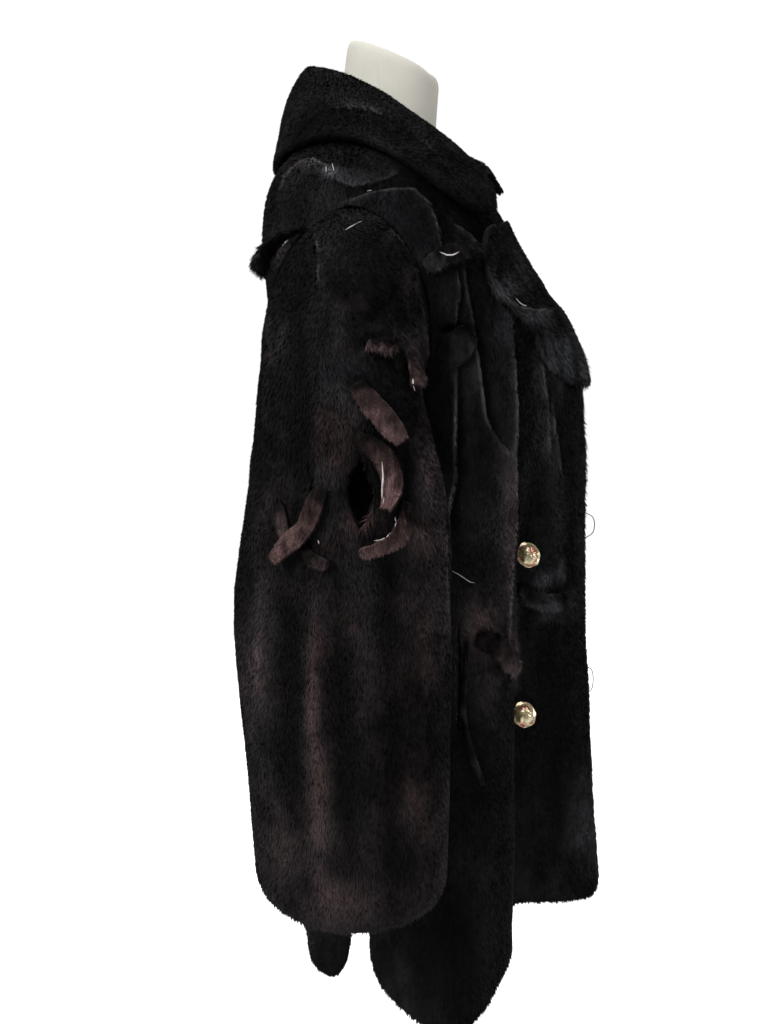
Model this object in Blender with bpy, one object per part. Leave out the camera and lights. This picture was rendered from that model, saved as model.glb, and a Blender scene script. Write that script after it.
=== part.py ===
"""A worn beaver fur coat standing on a limbless dress form.

Metres, +Z up, the coat faces -Y and its wearer's right is -X. The origin is
under the middle of the stand's base. The body of the coat is one surface over
an angle and a height: the angle is 0 at the front, 90 at the wearer's right,
180 at the back and -90 at the wearer's left. Every panel is a stretch of that
surface, given its thickness inwards.
"""

import math
from collections import namedtuple

import bmesh
import bpy
from mathutils import Vector

# ---- cloth ----
WALL = 0.008                # leather and sheared pile together
SEAM = 0.0003               # gap at a seam, and under a piece that lies on another
LAYER = WALL + 0.0042       # how far the right front lies above the left one
LIE = 0.0012                # gap to the true curve under a piece that lies on a panel
LEFT_LIE = 0.0024           # the same under the left revere, whose panel has a coarser grid
STRIP_WALL = 0.0045         # a loose torn strip

# ---- heights ----
NECKLINE_Z = 1.385
SHOULDER_Z = 1.270          # top of the armhole
UNDERARM_Z = 1.050
HEM_Z = 0.430
VENT_Z = 0.640              # the side seams are open below this
BREAK_Z = 1.095             # where the reveres begin to turn back
REVERE_TOP_Z = 1.280        # where the reveres end under the collar
LEFT_REVERE_Z = 1.178       # the left one goes under the right front here
LEFT_ROLL = 2.0             # degrees that the left one's roll line lies further round

# ---- armhole and side seam ----
ARMHOLE_Y = 0.030
ARMHOLE_HALF = 0.075        # half its width, front to back
SHOULDER_SEAM_Y = 0.062     # where the shoulder seam meets the neckline
HEM_SEAM_Y = 0.036          # where the side seam meets the hem
VENT_HALF = 0.011           # half the vent's gap at the hem
CORNER = 0.026              # radius of the rounded lower corners

# ---- the body's level sections ----
Ring = namedtuple("Ring", "z half_width ridge_y front_y back_y power")
BODY = [
    Ring(1.385, 0.080, 0.064, -0.006, 0.143, 2.0),
    Ring(1.370, 0.108, 0.060, -0.022, 0.160, 2.0),
    Ring(1.352, 0.138, 0.055, -0.036, 0.173, 2.1),
    Ring(1.330, 0.166, 0.048, -0.050, 0.182, 2.2),
    Ring(1.300, 0.187, 0.040, -0.064, 0.187, 2.4),
    Ring(1.270, 0.195, 0.034, -0.076, 0.189, 2.5),
    Ring(1.220, 0.188, 0.032, -0.103, 0.190, 2.6),
    Ring(1.160, 0.171, 0.028, -0.138, 0.190, 2.6),
    Ring(1.100, 0.155, 0.022, -0.154, 0.188, 2.5),
    Ring(1.050, 0.146, 0.018, -0.156, 0.187, 2.4),
    Ring(0.900, 0.142, 0.010, -0.154, 0.185, 2.3),
    Ring(0.700, 0.147, 0.005, -0.160, 0.189, 2.2),
    Ring(0.550, 0.162, 0.000, -0.166, 0.194, 2.1),
    Ring(0.430, 0.184, 0.000, -0.172, 0.198, 2.0),
    Ring(0.330, 0.192, 0.000, -0.176, 0.202, 2.0),
]

# ---- flutes: out is +, in is - ; depth at the waist, above the hem and at it ----
Fold = namedtuple("Fold", "angle spread top_z waist low hem")
FOLDS = [
    Fold(12, 20, 1.16, -0.046, -0.056, -0.068),     # valley beside the front edge
    Fold(43, 10, 1.20, -0.002, -0.008, -0.012),     # shallow dip in the side flute
    Fold(67, 14, 1.05, 0.012, 0.016, 0.042),        # the large side flute
    Fold(96, 9, 1.05, -0.002, -0.006, -0.020),      # valley at the right vent
    Fold(115, 9, 1.00, 0.002, 0.003, 0.008),        # the back's right corner
    Fold(138, 10, 1.05, -0.006, -0.010, -0.018),
    Fold(157, 9, 1.05, 0.005, 0.008, 0.010),
    Fold(177, 9, 1.10, -0.006, -0.010, -0.014),
    Fold(196, 8, 1.05, 0.006, 0.010, 0.014),
    Fold(215, 9, 1.00, -0.006, -0.010, -0.016),
    Fold(238, 10, 1.00, 0.003, 0.006, 0.012),
    Fold(-97, 9, 1.05, -0.002, -0.006, -0.018),     # valley at the left vent
    Fold(-70, 12, 1.05, 0.008, 0.014, 0.032),       # the left side flute
    Fold(-52, 7, 1.15, -0.006, -0.010, -0.014),
]
# the right front's free edge swings out over the left front
EDGE_SWING = [Fold(-29, 16, 1.30, 0.035, 0.044, 0.054)]
LOW_Z = 0.60                # the height that a fold's "low" depth is for
WAIST_Z = 0.90

# ---- the hem rises in the valleys and dips on the flutes ----
HemRise = namedtuple("HemRise", "angle spread rise")
HEM_RISES = [HemRise(4, 27, 0.036), HemRise(138, 16, 0.012), HemRise(215, 14, 0.010)]

# ---- the reveres: roll line and free edge, by height ----
Revere = namedtuple("Revere", "z roll edge")
REVERE = [
    Revere(1.385, 82.0, 82.0),
    Revere(1.370, 60.0, 60.0),
    Revere(1.352, 43.0, 43.0),
    Revere(1.330, 26.0, 34.0),
    Revere(1.310, 11.0, 33.0),
    Revere(1.292, 0.0, 33.0),
    Revere(1.270, -3.0, 36.0),
    Revere(1.250, -5.8, 41.5),
    Revere(1.230, -8.8, 45.5),
    Revere(1.210, -11.7, 47.0),
    Revere(1.192, -14.0, 46.0),
    Revere(1.177, -15.8, 42.0),
    Revere(1.164, -17.1, 34.0),
    Revere(1.152, -18.3, 28.5),
    Revere(1.140, -19.5, 28.0),
    Revere(1.127, -20.8, 26.5),
    Revere(1.115, -22.0, 20.0),
    Revere(1.105, -23.0, 8.0),
    Revere(1.095, -24.0, -21.0),
]
REVERE_SLOPE = 0.022        # how far the top of a revere falls towards its free edge
FREE_EDGE = -24.0           # angle of the right front's free edge below the break

# ---- sleeve sections: the point furthest out, the one nearest the body ----
Cuff = namedtuple("Cuff", "outer_x outer_z inner_x inner_z y half_width")
SLEEVE = [
    Cuff(0.242, 1.246, 0.160, 1.030, 0.030, 0.079),
    Cuff(0.282, 1.193, 0.165, 1.008, 0.025, 0.081),
    Cuff(0.309, 1.115, 0.167, 0.982, 0.014, 0.089),
    Cuff(0.321, 1.010, 0.168, 0.945, 0.010, 0.100),
    Cuff(0.327, 0.890, 0.169, 0.873, 0.018, 0.112),
    Cuff(0.328, 0.775, 0.169, 0.765, 0.012, 0.106),
    Cuff(0.326, 0.670, 0.169, 0.682, 0.010, 0.103),
    Cuff(0.321, 0.596, 0.168, 0.628, 0.009, 0.100),
]
SLEEVE_START = 0.012        # the sleeve begins this share of a section past the armhole
SLEEVE_SEAM = 104.0         # angle of the sleeve's seams, each side of its outer line

# ---- collar: the fold line and the fall's free edge, back to front ----
Station = namedtuple("Station", "foot_angle foot_z fold_x fold_y fold_z edge_x edge_y edge_z")
COLLAR = [
    Station(180, 1.385, 0.000, 0.157, 1.460, 0.000, 0.197, 1.352),
    Station(158, 1.385, 0.034, 0.152, 1.459, 0.050, 0.188, 1.346),
    Station(133, 1.385, 0.062, 0.136, 1.452, 0.100, 0.156, 1.341),
    Station(108, 1.385, 0.080, 0.106, 1.441, 0.142, 0.094, 1.347),
    Station(85, 1.385, 0.083, 0.072, 1.427, 0.161, 0.040, 1.336),
    Station(62, 1.3715, 0.077, 0.038, 1.407, 0.165, -0.004, 1.316),
    Station(47, 1.3565, 0.062, 0.010, 1.385, 0.153, -0.038, 1.293),
    Station(33, 1.3395, 0.044, -0.016, 1.361, 0.130, -0.060, 1.280),
    Station(18, 1.3195, 0.027, -0.039, 1.339, 0.096, -0.074, 1.270),
    Station(8, 1.3060, 0.006, -0.060, 1.321, 0.042, -0.075, 1.288),
]
LEFT_FALL = 0.62            # the left side's fall, as a share of the right one's
LEFT_TIP_FALL = 0.30        # the same at the left tip
LEFT_FALL_STEP = 0.12       # and how much it grows from station to station behind the tip
FALL_GAP = 0.0046           # between the fall and the body's true surface
COLLAR_WALL = 0.007
FOOT_GAP = 0.0037           # between the stand's foot and the panel's edge
STAND_GAP = 0.010           # between the middles of the stand and the fall at the fold

# ---- dress form ----
FormRing = namedtuple("FormRing", "z half_width mid_y half_depth tilt")
FORM = [
    FormRing(0.700, 0.112, 0.018, 0.092, 0),
    FormRing(0.760, 0.128, 0.018, 0.099, 0),
    FormRing(0.840, 0.126, 0.020, 0.096, 0),
    FormRing(0.930, 0.104, 0.024, 0.082, 0),
    FormRing(1.000, 0.104, 0.028, 0.084, 0),
    FormRing(1.090, 0.122, 0.028, 0.104, 0),
    FormRing(1.170, 0.134, 0.032, 0.108, 0),
    FormRing(1.240, 0.146, 0.042, 0.098, 0),
    FormRing(1.300, 0.152, 0.050, 0.090, 0),
]
NECK = [
    FormRing(1.3825, 0.060, 0.068, 0.060, 0),
    FormRing(1.398, 0.0555, 0.066, 0.0575, 5),
    FormRing(1.425, 0.0540, 0.063, 0.0575, 14),
    FormRing(1.450, 0.0535, 0.060, 0.0580, 21),
    FormRing(1.462, 0.0530, 0.0585, 0.0585, 24),
    FormRing(1.4675, 0.0500, 0.0580, 0.0555, 24),
]
REST_GAP = 0.0010           # between the form's shoulders and the coat's inside
FRONT_CLEAR = 0.024
BACK_CLEAR = 0.008
REST_Z = [1.318, 1.340, 1.358, 1.370]

# ---- stand ----
BASE_RADIUS = 0.175
BASE_EDGE = 0.010
BOSS_RADIUS = 0.026
BOSS_TOP = 0.046
BORE_FLOOR = 0.014
POLE_RADIUS = 0.011
FLANGE_RADIUS = 0.045
FLANGE = 0.005

# ---- buttons and loops ----
BUTTON_RADIUS = 0.0155
BUTTON_HEIGHT = 0.0070
SHANK_RADIUS = 0.0035
SHANK = 0.0020
RIM = 0.0055               # height of a button's rim above the shank's foot
Button = namedtuple("Button", "name side angle z seat")
BUTTONS = [
    Button("button_right_upper", "right", 7.5, 0.904, 0.0014),
    Button("button_right_lower", "right", 7.0, 0.712, 0.0014),
    Button("button_left_upper", "left", -42.0, 0.917, 0.0004),
    Button("button_left_lower", "left", -41.0, 0.732, 0.0004),
]
LOOP_THREAD = 0.0006
LOOP_FORWARD = 0.72         # how far a loop's bow turns from the cloth's line to its face
Loop = namedtuple("Loop", "name top_z bottom_z reach sag")
LOOPS = [
    Loop("loop_upper", 0.945, 0.911, 0.013, 0.004),
    Loop("loop_lower", 0.750, 0.713, 0.009, 0.006),
]

# ---- torn strips: where their middle line lies on their panel, and how far it lifts ----
# a path's places are across, along, lift: across is an angle; along counts sections on
# a sleeve and is a height on the front; lift is in millimetres, below 0 where it is rooted
Strip = namedtuple("Strip", "name panel width twist path")
STRIPS = [
    Strip(
        "shoulder_flap_back", "sleeve", 0.026, 62,
        [(-24, 0.78, -1.8), (-33, 1.12, 6), (-38, 1.64, 8)],
    ),
    Strip("shoulder_flap_front", "front", 0.018, -20, [(67, 1.210, -1), (60, 1.222, 4), (49, 1.230, 5)]),
    Strip("sleeve_tuft", "sleeve", 0.014, 30, [(35, 2.64, -1.8), (44, 2.56, 2), (53, 2.46, 4)]),
    Strip("sleeve_strip_1", "sleeve", 0.020, 25, [(25, 3.13, -1.2), (37, 3.32, 3), (48, 3.50, 5)]),
    Strip(
        "sleeve_strip_2", "sleeve", 0.018, 50,
        [(25, 3.59, -0.7), (35, 3.64, 2), (41, 3.78, 4), (41, 3.95, 5), (38, 4.10, 6)],
    ),
    Strip(
        "sleeve_strip_3", "sleeve", 0.016, -45,
        [(52, 4.00, -1.3), (49, 4.20, 1), (41, 4.36, 3), (27, 4.44, 4)],
    ),
    Strip("sleeve_strip_4", "sleeve", 0.019, 20, [(6, 4.00, -0.7), (-1, 4.30, 4), (-13, 4.54, 7)]),
    Strip("sleeve_strip_5", "sleeve", 0.011, 0, [(-21, 4.10, -1.1), (-14, 4.30, 0), (-7, 4.48, 0)]),
    Strip("sleeve_strip_6", "sleeve", 0.010, 35, [(-1, 4.45, -1.1), (5, 4.52, 2), (12, 4.54, 4)]),
    Strip("sleeve_strip_7", "sleeve", 0.017, 30, [(70, 2.08, -0.7), (69, 2.42, 1), (64, 2.78, 2)]),
    Strip("front_pouch", "front", 0.030, 0, [(54, 1.150, -1), (58, 1.136, 4), (62, 1.122, -1)]),
    Strip("front_strip", "front", 0.007, 60, [(57.5, 0.832, -0.7), (60, 0.745, 2), (54, 0.677, 6)]),
    Strip("front_lobe", "front", 0.022, 15, [(53, 0.833, -1), (44, 0.820, 5), (34, 0.787, 3)]),
    Strip("front_curl", "front", 0.018, -35, [(11, 0.868, 0.2), (-3, 0.846, 5), (-15, 0.853, 4)]),
]
MILLIMETRE = 0.001          # the unit of a lift
STRIP_ROWS = 8
TIP_SHARE = 0.60            # width of a strip's ends, as a share of its middle's

# ---- rips cut right through: a column and the first and last row of the panel's grid ----
Rip = namedtuple("Rip", "column first last half_width")
SLEEVE_RIPS = [Rip(10, 8, 11, 9.0), Rip(8, 9, 12, 3.0)]
FRONT_RIPS = [Rip(13, 20, 22, 2.6)]

# ---- grids ----
NECK_ROWS = 7
ARMHOLE_ROWS = 10
SKIRT_ROWS = [0.985, 0.92, 0.855, 0.79, 0.72, 0.65, 0.58, 0.52, 0.475, 0.456, 0.440, 0.433, HEM_Z]
BACK_COLUMNS = 24
RIGHT_COLUMNS = 19
LEFT_COLUMNS = 15
SLEEVE_ROWS = [0, 0.5, 1, 1.5, 2, 2.5, 3.1, 3.5, 3.72, 3.9, 4.1, 4.3, 4.6, 5.2, 5.8, 6.5, 7.2, 8]
TOP_SLEEVE_COLUMNS = 16
UNDER_SLEEVE_COLUMNS = 9
COLLAR_ROWS = 30
REVERE_ROWS = 16
LEFT_REVERE_ROWS = 12
REVERE_COLUMNS = 6
FORM_SIDES = 24
BODY_REACH = 0.14           # least radius of the body and of a sleeve at their seams
SLEEVE_REACH = 0.045
STEP = 1e-3                 # for slopes of the surfaces

# ---- colours (linear), roughness and metallic of each finish ----
Finish = namedtuple("Finish", "colour roughness metallic")
FUR = Finish((0.012, 0.008, 0.007), 0.85, 0.0)
WORN_FUR = Finish((0.040, 0.022, 0.018), 0.85, 0.0)
CLOTH = Finish((0.60, 0.58, 0.53), 0.80, 0.0)
GILT = Finish((0.80, 0.62, 0.30), 0.25, 1.0)
STEEL = Finish((0.30, 0.30, 0.31), 0.35, 1.0)
THREAD = Finish((0.22, 0.21, 0.20), 0.60, 0.0)


# ---------------------------------------------------------------- curves
def smooth_step(value):
    value = min(1.0, max(0.0, value))
    return value * value * (3.0 - 2.0 * value)


def read(rows, key, value, column):
    """A table's column where its falling key column has this value, without overshoot."""
    rows = sorted(rows, key=lambda row: getattr(row, key))
    xs = [getattr(row, key) for row in rows]
    ys = [getattr(row, column) for row in rows]
    if value <= xs[0]:
        return ys[0]
    if value >= xs[-1]:
        return ys[-1]
    slopes = [(ys[i + 1] - ys[i]) / (xs[i + 1] - xs[i]) for i in range(len(xs) - 1)]
    turns = [slopes[0]]
    for before, after in zip(slopes, slopes[1:]):
        turns.append(2 * before * after / (before + after) if before * after > 0 else 0.0)
    turns.append(slopes[-1])
    i = next(k for k in range(len(slopes)) if value <= xs[k + 1])
    width = xs[i + 1] - xs[i]
    t = (value - xs[i]) / width
    return (
        ys[i] * (1 + 2 * t) * (1 - t) ** 2
        + turns[i] * width * t * (1 - t) ** 2
        + ys[i + 1] * t * t * (3 - 2 * t)
        + turns[i + 1] * width * t * t * (t - 1)
    )


def through(points, t):
    """A smooth curve through points, at t from 0 to their number less one."""
    last = len(points) - 1
    i = min(int(t), last - 1)
    f = t - i
    a, b = points[i], points[i + 1]
    before = points[i - 1] if i > 0 else a + (a - b)
    after = points[i + 2] if i + 2 <= last else b + (b - a)
    return (
        b * (0.5 * f * (1 + 4 * f - 3 * f * f))
        + a * (0.5 * (2 - 5 * f * f + 3 * f * f * f))
        + before * (0.5 * f * (-1 + 2 * f - f * f))
        + after * (0.5 * f * f * (f - 1))
    )


def normal_of(surface, across, along, low=None, high=None):
    """The way out of a surface(across, along) there; low and high bound `along`."""
    first = along - STEP if low is None else max(low, along - STEP)
    last = along + STEP if high is None else min(high, along + STEP)
    side = surface(across + 0.1, along) - surface(across - 0.1, along)
    up = surface(across, last) - surface(across, first)
    return up.cross(side).normalized()


# ---------------------------------------------------------------- the body's surface
def turn_between(a, b):
    """Degrees from b to a, the short way."""
    return (a - b + 180.0) % 360.0 - 180.0


def bump(offset, spread):
    return math.exp(-((offset / spread) ** 2))


def fold_depth(fold, z):
    if z >= fold.top_z:
        return 0.0
    if z >= WAIST_Z:
        return fold.waist * smooth_step((fold.top_z - z) / (fold.top_z - WAIST_Z))
    if z >= LOW_Z:
        return fold.waist + (fold.low - fold.waist) * (WAIST_Z - z) / (WAIST_Z - LOW_Z)
    return fold.low + (fold.hem - fold.low) * smooth_step((LOW_Z - z) / (LOW_Z - HEM_Z))


def folded(folds, angle, z):
    return sum(fold_depth(f, z) * bump(turn_between(angle, f.angle), f.spread) for f in folds)


RINGS = {}


def ring_at(z):
    key = round(z, 6)
    if key not in RINGS:
        RINGS[key] = Ring(z, *(read(BODY, "z", z, column) for column in Ring._fields[1:]))
    return RINGS[key]


def body(angle, z, folds=FOLDS):
    """A point of the coat's outer surface."""
    ring = ring_at(z)
    a = math.radians(angle)
    across, ahead = abs(math.sin(a)), math.cos(a)
    depth = ring.ridge_y - ring.front_y if ahead > 0 else ring.back_y - ring.ridge_y
    sum_of_powers = (across / ring.half_width) ** ring.power + (abs(ahead) / depth) ** ring.power
    radius = sum_of_powers ** (-1.0 / ring.power) + folded(folds, angle, z)
    return Vector((-radius * math.sin(a), ring.ridge_y - radius * ahead, z))


def right_outer(angle, z):
    return body(angle, z, FOLDS + EDGE_SWING)


def left_outer(angle, z):
    """The left front goes in under the right one as it nears it."""
    under = smooth_step((turn_between(angle, FREE_EDGE) + 26.0) / 16.0)
    point = body(angle, z)
    if under == 0.0:
        return point
    return point - normal_of(body, angle, z, high=NECKLINE_Z) * (LAYER * under)


def angle_at(y, z):
    """The angle, on the right, where the section at z crosses this y."""
    ring = ring_at(z)
    ahead = ring.ridge_y - y
    depth = ring.ridge_y - ring.front_y if ahead > 0 else ring.back_y - ring.ridge_y
    x = ring.half_width * (1.0 - min(1.0, abs(ahead) / depth) ** ring.power) ** (1.0 / ring.power)
    return math.degrees(math.atan2(x, ahead))


def hem_rise(angle, z):
    share = (UNDERARM_Z - z) / (UNDERARM_Z - HEM_Z)
    if share <= 0.0:
        return 0.0
    return share**3 * sum(r.rise * bump(turn_between(angle, r.angle), r.spread) for r in HEM_RISES)


# ---------------------------------------------------------------- the panels' rows
Row = namedtuple("Row", "z front back")


def corner_cut(z):
    """How far a rounded corner has left the straight edge at this height."""
    up = z - HEM_Z
    if up >= CORNER:
        return 0.0
    return CORNER - math.sqrt(max(0.0, CORNER**2 - (CORNER - up) ** 2))


def seam_rows():
    """Heights from the neckline to the hem, with the angles of the side seam's two lips."""
    rows = []
    for k in range(NECK_ROWS):
        share = k / NECK_ROWS
        z = NECKLINE_Z + (SHOULDER_Z - NECKLINE_Z) * share
        y = SHOULDER_SEAM_Y + (ARMHOLE_Y - SHOULDER_SEAM_Y) * share
        rows.append((z, y, y))
    middle = (SHOULDER_Z + UNDERARM_Z) / 2
    half = (SHOULDER_Z - UNDERARM_Z) / 2
    for k in range(ARMHOLE_ROWS + 1):
        a = math.pi * k / ARMHOLE_ROWS
        wide = ARMHOLE_HALF * math.sin(a)
        rows.append((middle + half * math.cos(a), ARMHOLE_Y - wide, ARMHOLE_Y + wide))
    for z in SKIRT_ROWS:
        share = (UNDERARM_Z - z) / (UNDERARM_Z - HEM_Z)
        y = ARMHOLE_Y + (HEM_SEAM_Y - ARMHOLE_Y) * share
        gap = VENT_HALF * smooth_step((VENT_Z - z) / (VENT_Z - HEM_Z)) + corner_cut(z)
        rows.append((z, y - gap, y + gap))
    inset = math.degrees(SEAM / 2 / BODY_REACH)
    return [Row(z, angle_at(f, z) - inset, angle_at(b, z) + inset) for z, f, b in rows]


def edge_angle(z):
    """The right front's roll line, then its free edge with its rounded corner."""
    if z >= BREAK_Z:
        return read(REVERE, "z", z, "roll")
    return FREE_EDGE + math.degrees(corner_cut(z) / 0.2)


# ---------------------------------------------------------------- solids
def material(name, finish):
    made = bpy.data.materials.new(name)
    made.use_nodes = True
    shader = made.node_tree.nodes["Principled BSDF"]
    shader.inputs["Base Color"].default_value = (*finish.colour, 1.0)
    shader.inputs["Roughness"].default_value = finish.roughness
    shader.inputs["Metallic"].default_value = finish.metallic
    return made


def solid(name, points, faces, finish):
    """One closed body from points and faces."""
    mesh = bpy.data.meshes.new(name)
    mesh.from_pydata([tuple(p) for p in points], [], faces)
    shape = bmesh.new()
    shape.from_mesh(mesh)
    bmesh.ops.recalc_face_normals(shape, faces=shape.faces)
    shape.to_mesh(mesh)
    shape.free()
    mesh.shade_smooth()
    mesh.set_sharp_from_angle(angle=math.radians(50))
    mesh.materials.append(material(name, finish))
    made = bpy.data.objects.new(name, mesh)
    bpy.context.scene.collection.objects.link(made)
    return made


def wall(name, at, rows, columns, finish, rips=()):
    """A closed wall on a grid: at(row, column, lip) gives its outer and its inner point.

    A rip parts the grid along a column; its lips are -1 and 1.
    """
    numbers, points = {}, []

    def corner(i, j, cell):
        lip = 0
        for rip in rips:
            if j == rip.column and rip.first < i < rip.last:
                lip = 1 if cell >= j else -1
        if (i, j, lip) not in numbers:
            numbers[i, j, lip] = len(points)
            points.extend(at(i, j, lip))
        return numbers[i, j, lip]

    outer = [
        (corner(i, j, j), corner(i, j + 1, j), corner(i + 1, j + 1, j), corner(i + 1, j, j))
        for i in range(rows)
        for j in range(columns)
    ]
    sides = {(a, b) for face in outer for a, b in zip(face, face[1:] + face[:1])}
    faces = list(outer)
    faces += [tuple(n + 1 for n in reversed(face)) for face in outer]
    faces += [(b, a, a + 1, b + 1) for a, b in sides if (b, a) not in sides]
    return solid(name, points, faces, finish)


def rip_shift(rips, i, j, lip):
    """How far a rip's lip has drawn back from its column, widest half way down."""
    for rip in rips:
        if lip and j == rip.column and rip.first < i < rip.last:
            share = (i - rip.first) / (rip.last - rip.first)
            return lip * rip.half_width * math.sin(math.pi * share) ** 0.7
    return 0.0


def stretch(name, surface, rows, columns, finish=FUR, rips=()):
    """A panel over rows of (z, angle at one side, angle at the other)."""
    def at(i, j, lip):
        z, start, end = rows[i]
        angle = start + (end - start) * j / columns
        angle += rip_shift(rips, i, j, lip)
        z += hem_rise(angle, z)
        outer = surface(angle, z)
        return outer, outer - normal_of(surface, angle, z, high=NECKLINE_Z) * WALL

    return wall(name, at, len(rows) - 1, columns, finish, rips)


def build_body():
    rows = seam_rows()
    stretch("back", body, [(r.z, r.back, 360.0 - r.back) for r in rows], BACK_COLUMNS)
    stretch(
        "right_front",
        right_outer,
        [(r.z, edge_angle(r.z), r.front) for r in rows],
        RIGHT_COLUMNS,
        rips=FRONT_RIPS,
    )
    stretch(
        "left_front",
        left_outer,
        [(r.z, -r.front, -edge_angle(r.z)) for r in rows],
        LEFT_COLUMNS,
    )


# ---------------------------------------------------------------- sleeves
def armhole_point(angle):
    a = math.radians(angle)
    z = (SHOULDER_Z + UNDERARM_Z) / 2 + (SHOULDER_Z - UNDERARM_Z) / 2 * math.cos(a)
    y = ARMHOLE_Y - ARMHOLE_HALF * math.sin(a)
    return body(angle_at(y, z), z)


def section_point(section, angle):
    a = math.radians(angle)
    outer = Vector((-section.outer_x, section.y, section.outer_z))
    inner = Vector((-section.inner_x, section.y, section.inner_z))
    spread = (outer - inner) / 2
    return (outer + inner) / 2 + spread * math.cos(a) - Vector((0, section.half_width, 0)) * math.sin(a)


def sleeve(angle, along):
    """The right sleeve's outer surface: 0 at its outer line, 90 at its front; along counts sections."""
    points = [armhole_point(angle)] + [section_point(s, angle) for s in SLEEVE]
    return through(points, along)


def sleeve_normal(angle, along):
    return normal_of(sleeve, angle, along, low=0.0, high=len(SLEEVE))


def build_sleeve(side, piece, start, end, columns, rips=()):
    mirror = Vector((1, 1, 1)) if side == "right" else Vector((-1, 1, 1))
    inset = math.degrees(SEAM / 2 / SLEEVE_REACH)

    def at(i, j, lip):
        angle = start + inset + (end - start - 2 * inset) * j / columns
        angle += rip_shift(rips, i, j, lip)
        along = max(SLEEVE_START, SLEEVE_ROWS[i])
        outer = sleeve(angle, along)
        inner = outer - sleeve_normal(angle, along) * WALL
        return outer * mirror, inner * mirror

    wall(f"{side}_{piece}", at, len(SLEEVE_ROWS) - 1, columns, FUR, rips)


def build_sleeves():
    for side in ("right", "left"):
        rips = SLEEVE_RIPS if side == "right" else ()
        build_sleeve(side, "top_sleeve", -SLEEVE_SEAM, SLEEVE_SEAM, TOP_SLEEVE_COLUMNS, rips)
        build_sleeve(side, "under_sleeve", SLEEVE_SEAM, 360.0 - SLEEVE_SEAM, UNDER_SLEEVE_COLUMNS)


# ---------------------------------------------------------------- collar and reveres
def clear_of_body(point):
    """The point, moved off the body's surface where it lies in it or too near."""
    ring = ring_at(min(point.z, NECKLINE_Z))
    angle = math.degrees(math.atan2(-point.x, ring.ridge_y - point.y))
    normal = normal_of(body, angle, ring.z, high=NECKLINE_Z)
    depth = (body(angle, ring.z) - point).dot(normal) + COLLAR_WALL / 2 + FALL_GAP
    return point + normal * max(0.0, depth)


def seam_point(angle, z):
    """The middle of a panel's cloth."""
    return body(angle, z) - normal_of(body, angle, z, high=NECKLINE_Z) * (WALL / 2)


def roll_angle(z, angle):
    """The neckline's own angle at the top; below it the roll line's, on the angle's side."""
    if z > NECKLINE_Z - STEP:
        return angle
    roll = read(REVERE, "z", z, "roll")
    return roll if angle < 180.0 else 360.0 - roll


def collar_profile(row):
    """The middle of the collar's cloth at one station, from the neckline to the free edge."""
    fold = Vector((row.fold_x, row.fold_y, row.fold_z))
    edge = Vector((row.edge_x, row.edge_y, row.edge_z))
    foot_z = min(row.foot_z, NECKLINE_Z)
    angle = roll_angle(foot_z, row.foot_angle)
    seam = seam_point(angle, foot_z)
    out = edge - fold
    out.z = 0.0
    out.normalize()
    inside = fold - out * STAND_GAP - Vector((0, 0, 0.012))
    rise = (inside - seam).normalized()
    side = 1.0 if angle < 180.0 else -1.0
    line = seam_point(angle + side, foot_z) - seam
    if foot_z < NECKLINE_Z:
        line = seam_point(roll_angle(foot_z - STEP, angle), foot_z - STEP) - seam
        line *= -1.0
    normal = normal_of(body, angle, foot_z, high=NECKLINE_Z)
    off = line.cross(normal).normalized() * side
    lean = math.sqrt(max(0.0, 1.0 - rise.dot(off) ** 2))
    foot = seam + off * (FOOT_GAP + COLLAR_WALL / 2 * lean)
    belly = fold.lerp(edge, 0.5) + out * 0.010 + Vector((0, 0, 0.006))
    return [foot, foot.lerp(inside, 0.55), inside, fold, clear_of_body(belly), clear_of_body(edge)]


def build_collar():
    """The stand rises from the neckline, folds over and falls to its free edge."""
    right = [Station(r[0], r[1], -r[2], r[3], r[4], -r[5], r[6], r[7]) for r in COLLAR]
    left = []
    for place, r in enumerate(COLLAR[-2:0:-1]):
        fold, edge = Vector(r[2:5]), Vector(r[5:8])
        fall = min(LEFT_FALL, LEFT_TIP_FALL + LEFT_FALL_STEP * place)
        left.append(Station(360.0 - r.foot_angle, r.foot_z, *fold, *fold.lerp(edge, fall)))
    stations = [Vector(row) for row in left + right]
    last = len(stations) - 1
    stops = [0.0, 1.0, 1.7, 2.3, 2.65, 3.0, 3.4, 4.0, 5.0]
    end = stops[-1]

    def middle(place, along):
        point = through(collar_profile(Station(*through(stations, place))), along)
        return clear_of_body(point) if along > 3.2 else point

    def at(i, j, lip):
        place, along = last * i / COLLAR_ROWS, stops[j]
        span = middle(max(0.0, place - 0.05), along) - middle(min(last, place + 0.05), along)
        up = middle(place, min(end, along + 0.02)) - middle(place, max(0.0, along - 0.02))
        out = span.cross(up).normalized() * (COLLAR_WALL / 2)
        point = middle(place, along)
        return point + out, point - out

    wall("collar", at, COLLAR_ROWS, len(stops) - 1, FUR)


def build_reveres():
    def over(surface, angle, z, lie):
        normal = normal_of(surface, angle, z, high=NECKLINE_Z)
        base = surface(angle, z)
        return base + normal * (WALL + lie), base + normal * lie

    def build(side, surface, low_z, rows, lie):
        def at(i, j, lip):
            down, out = i / rows, j / REVERE_COLUMNS
            z = REVERE_TOP_Z + (low_z - REVERE_TOP_Z) * down - REVERE_SLOPE * out * (1.0 - down)
            roll, edge = read(REVERE, "z", z, "roll"), read(REVERE, "z", z, "edge")
            if side == "left":
                roll, edge = roll - LEFT_ROLL, -edge
            return over(surface, roll + (edge - roll) * out, z, lie)

        wall(f"{side}_revere", at, rows, REVERE_COLUMNS, FUR)

    build("right", right_outer, BREAK_Z + 0.006, REVERE_ROWS, LIE)
    build("left", left_outer, LEFT_REVERE_Z, LEFT_REVERE_ROWS, LEFT_LIE)


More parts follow.
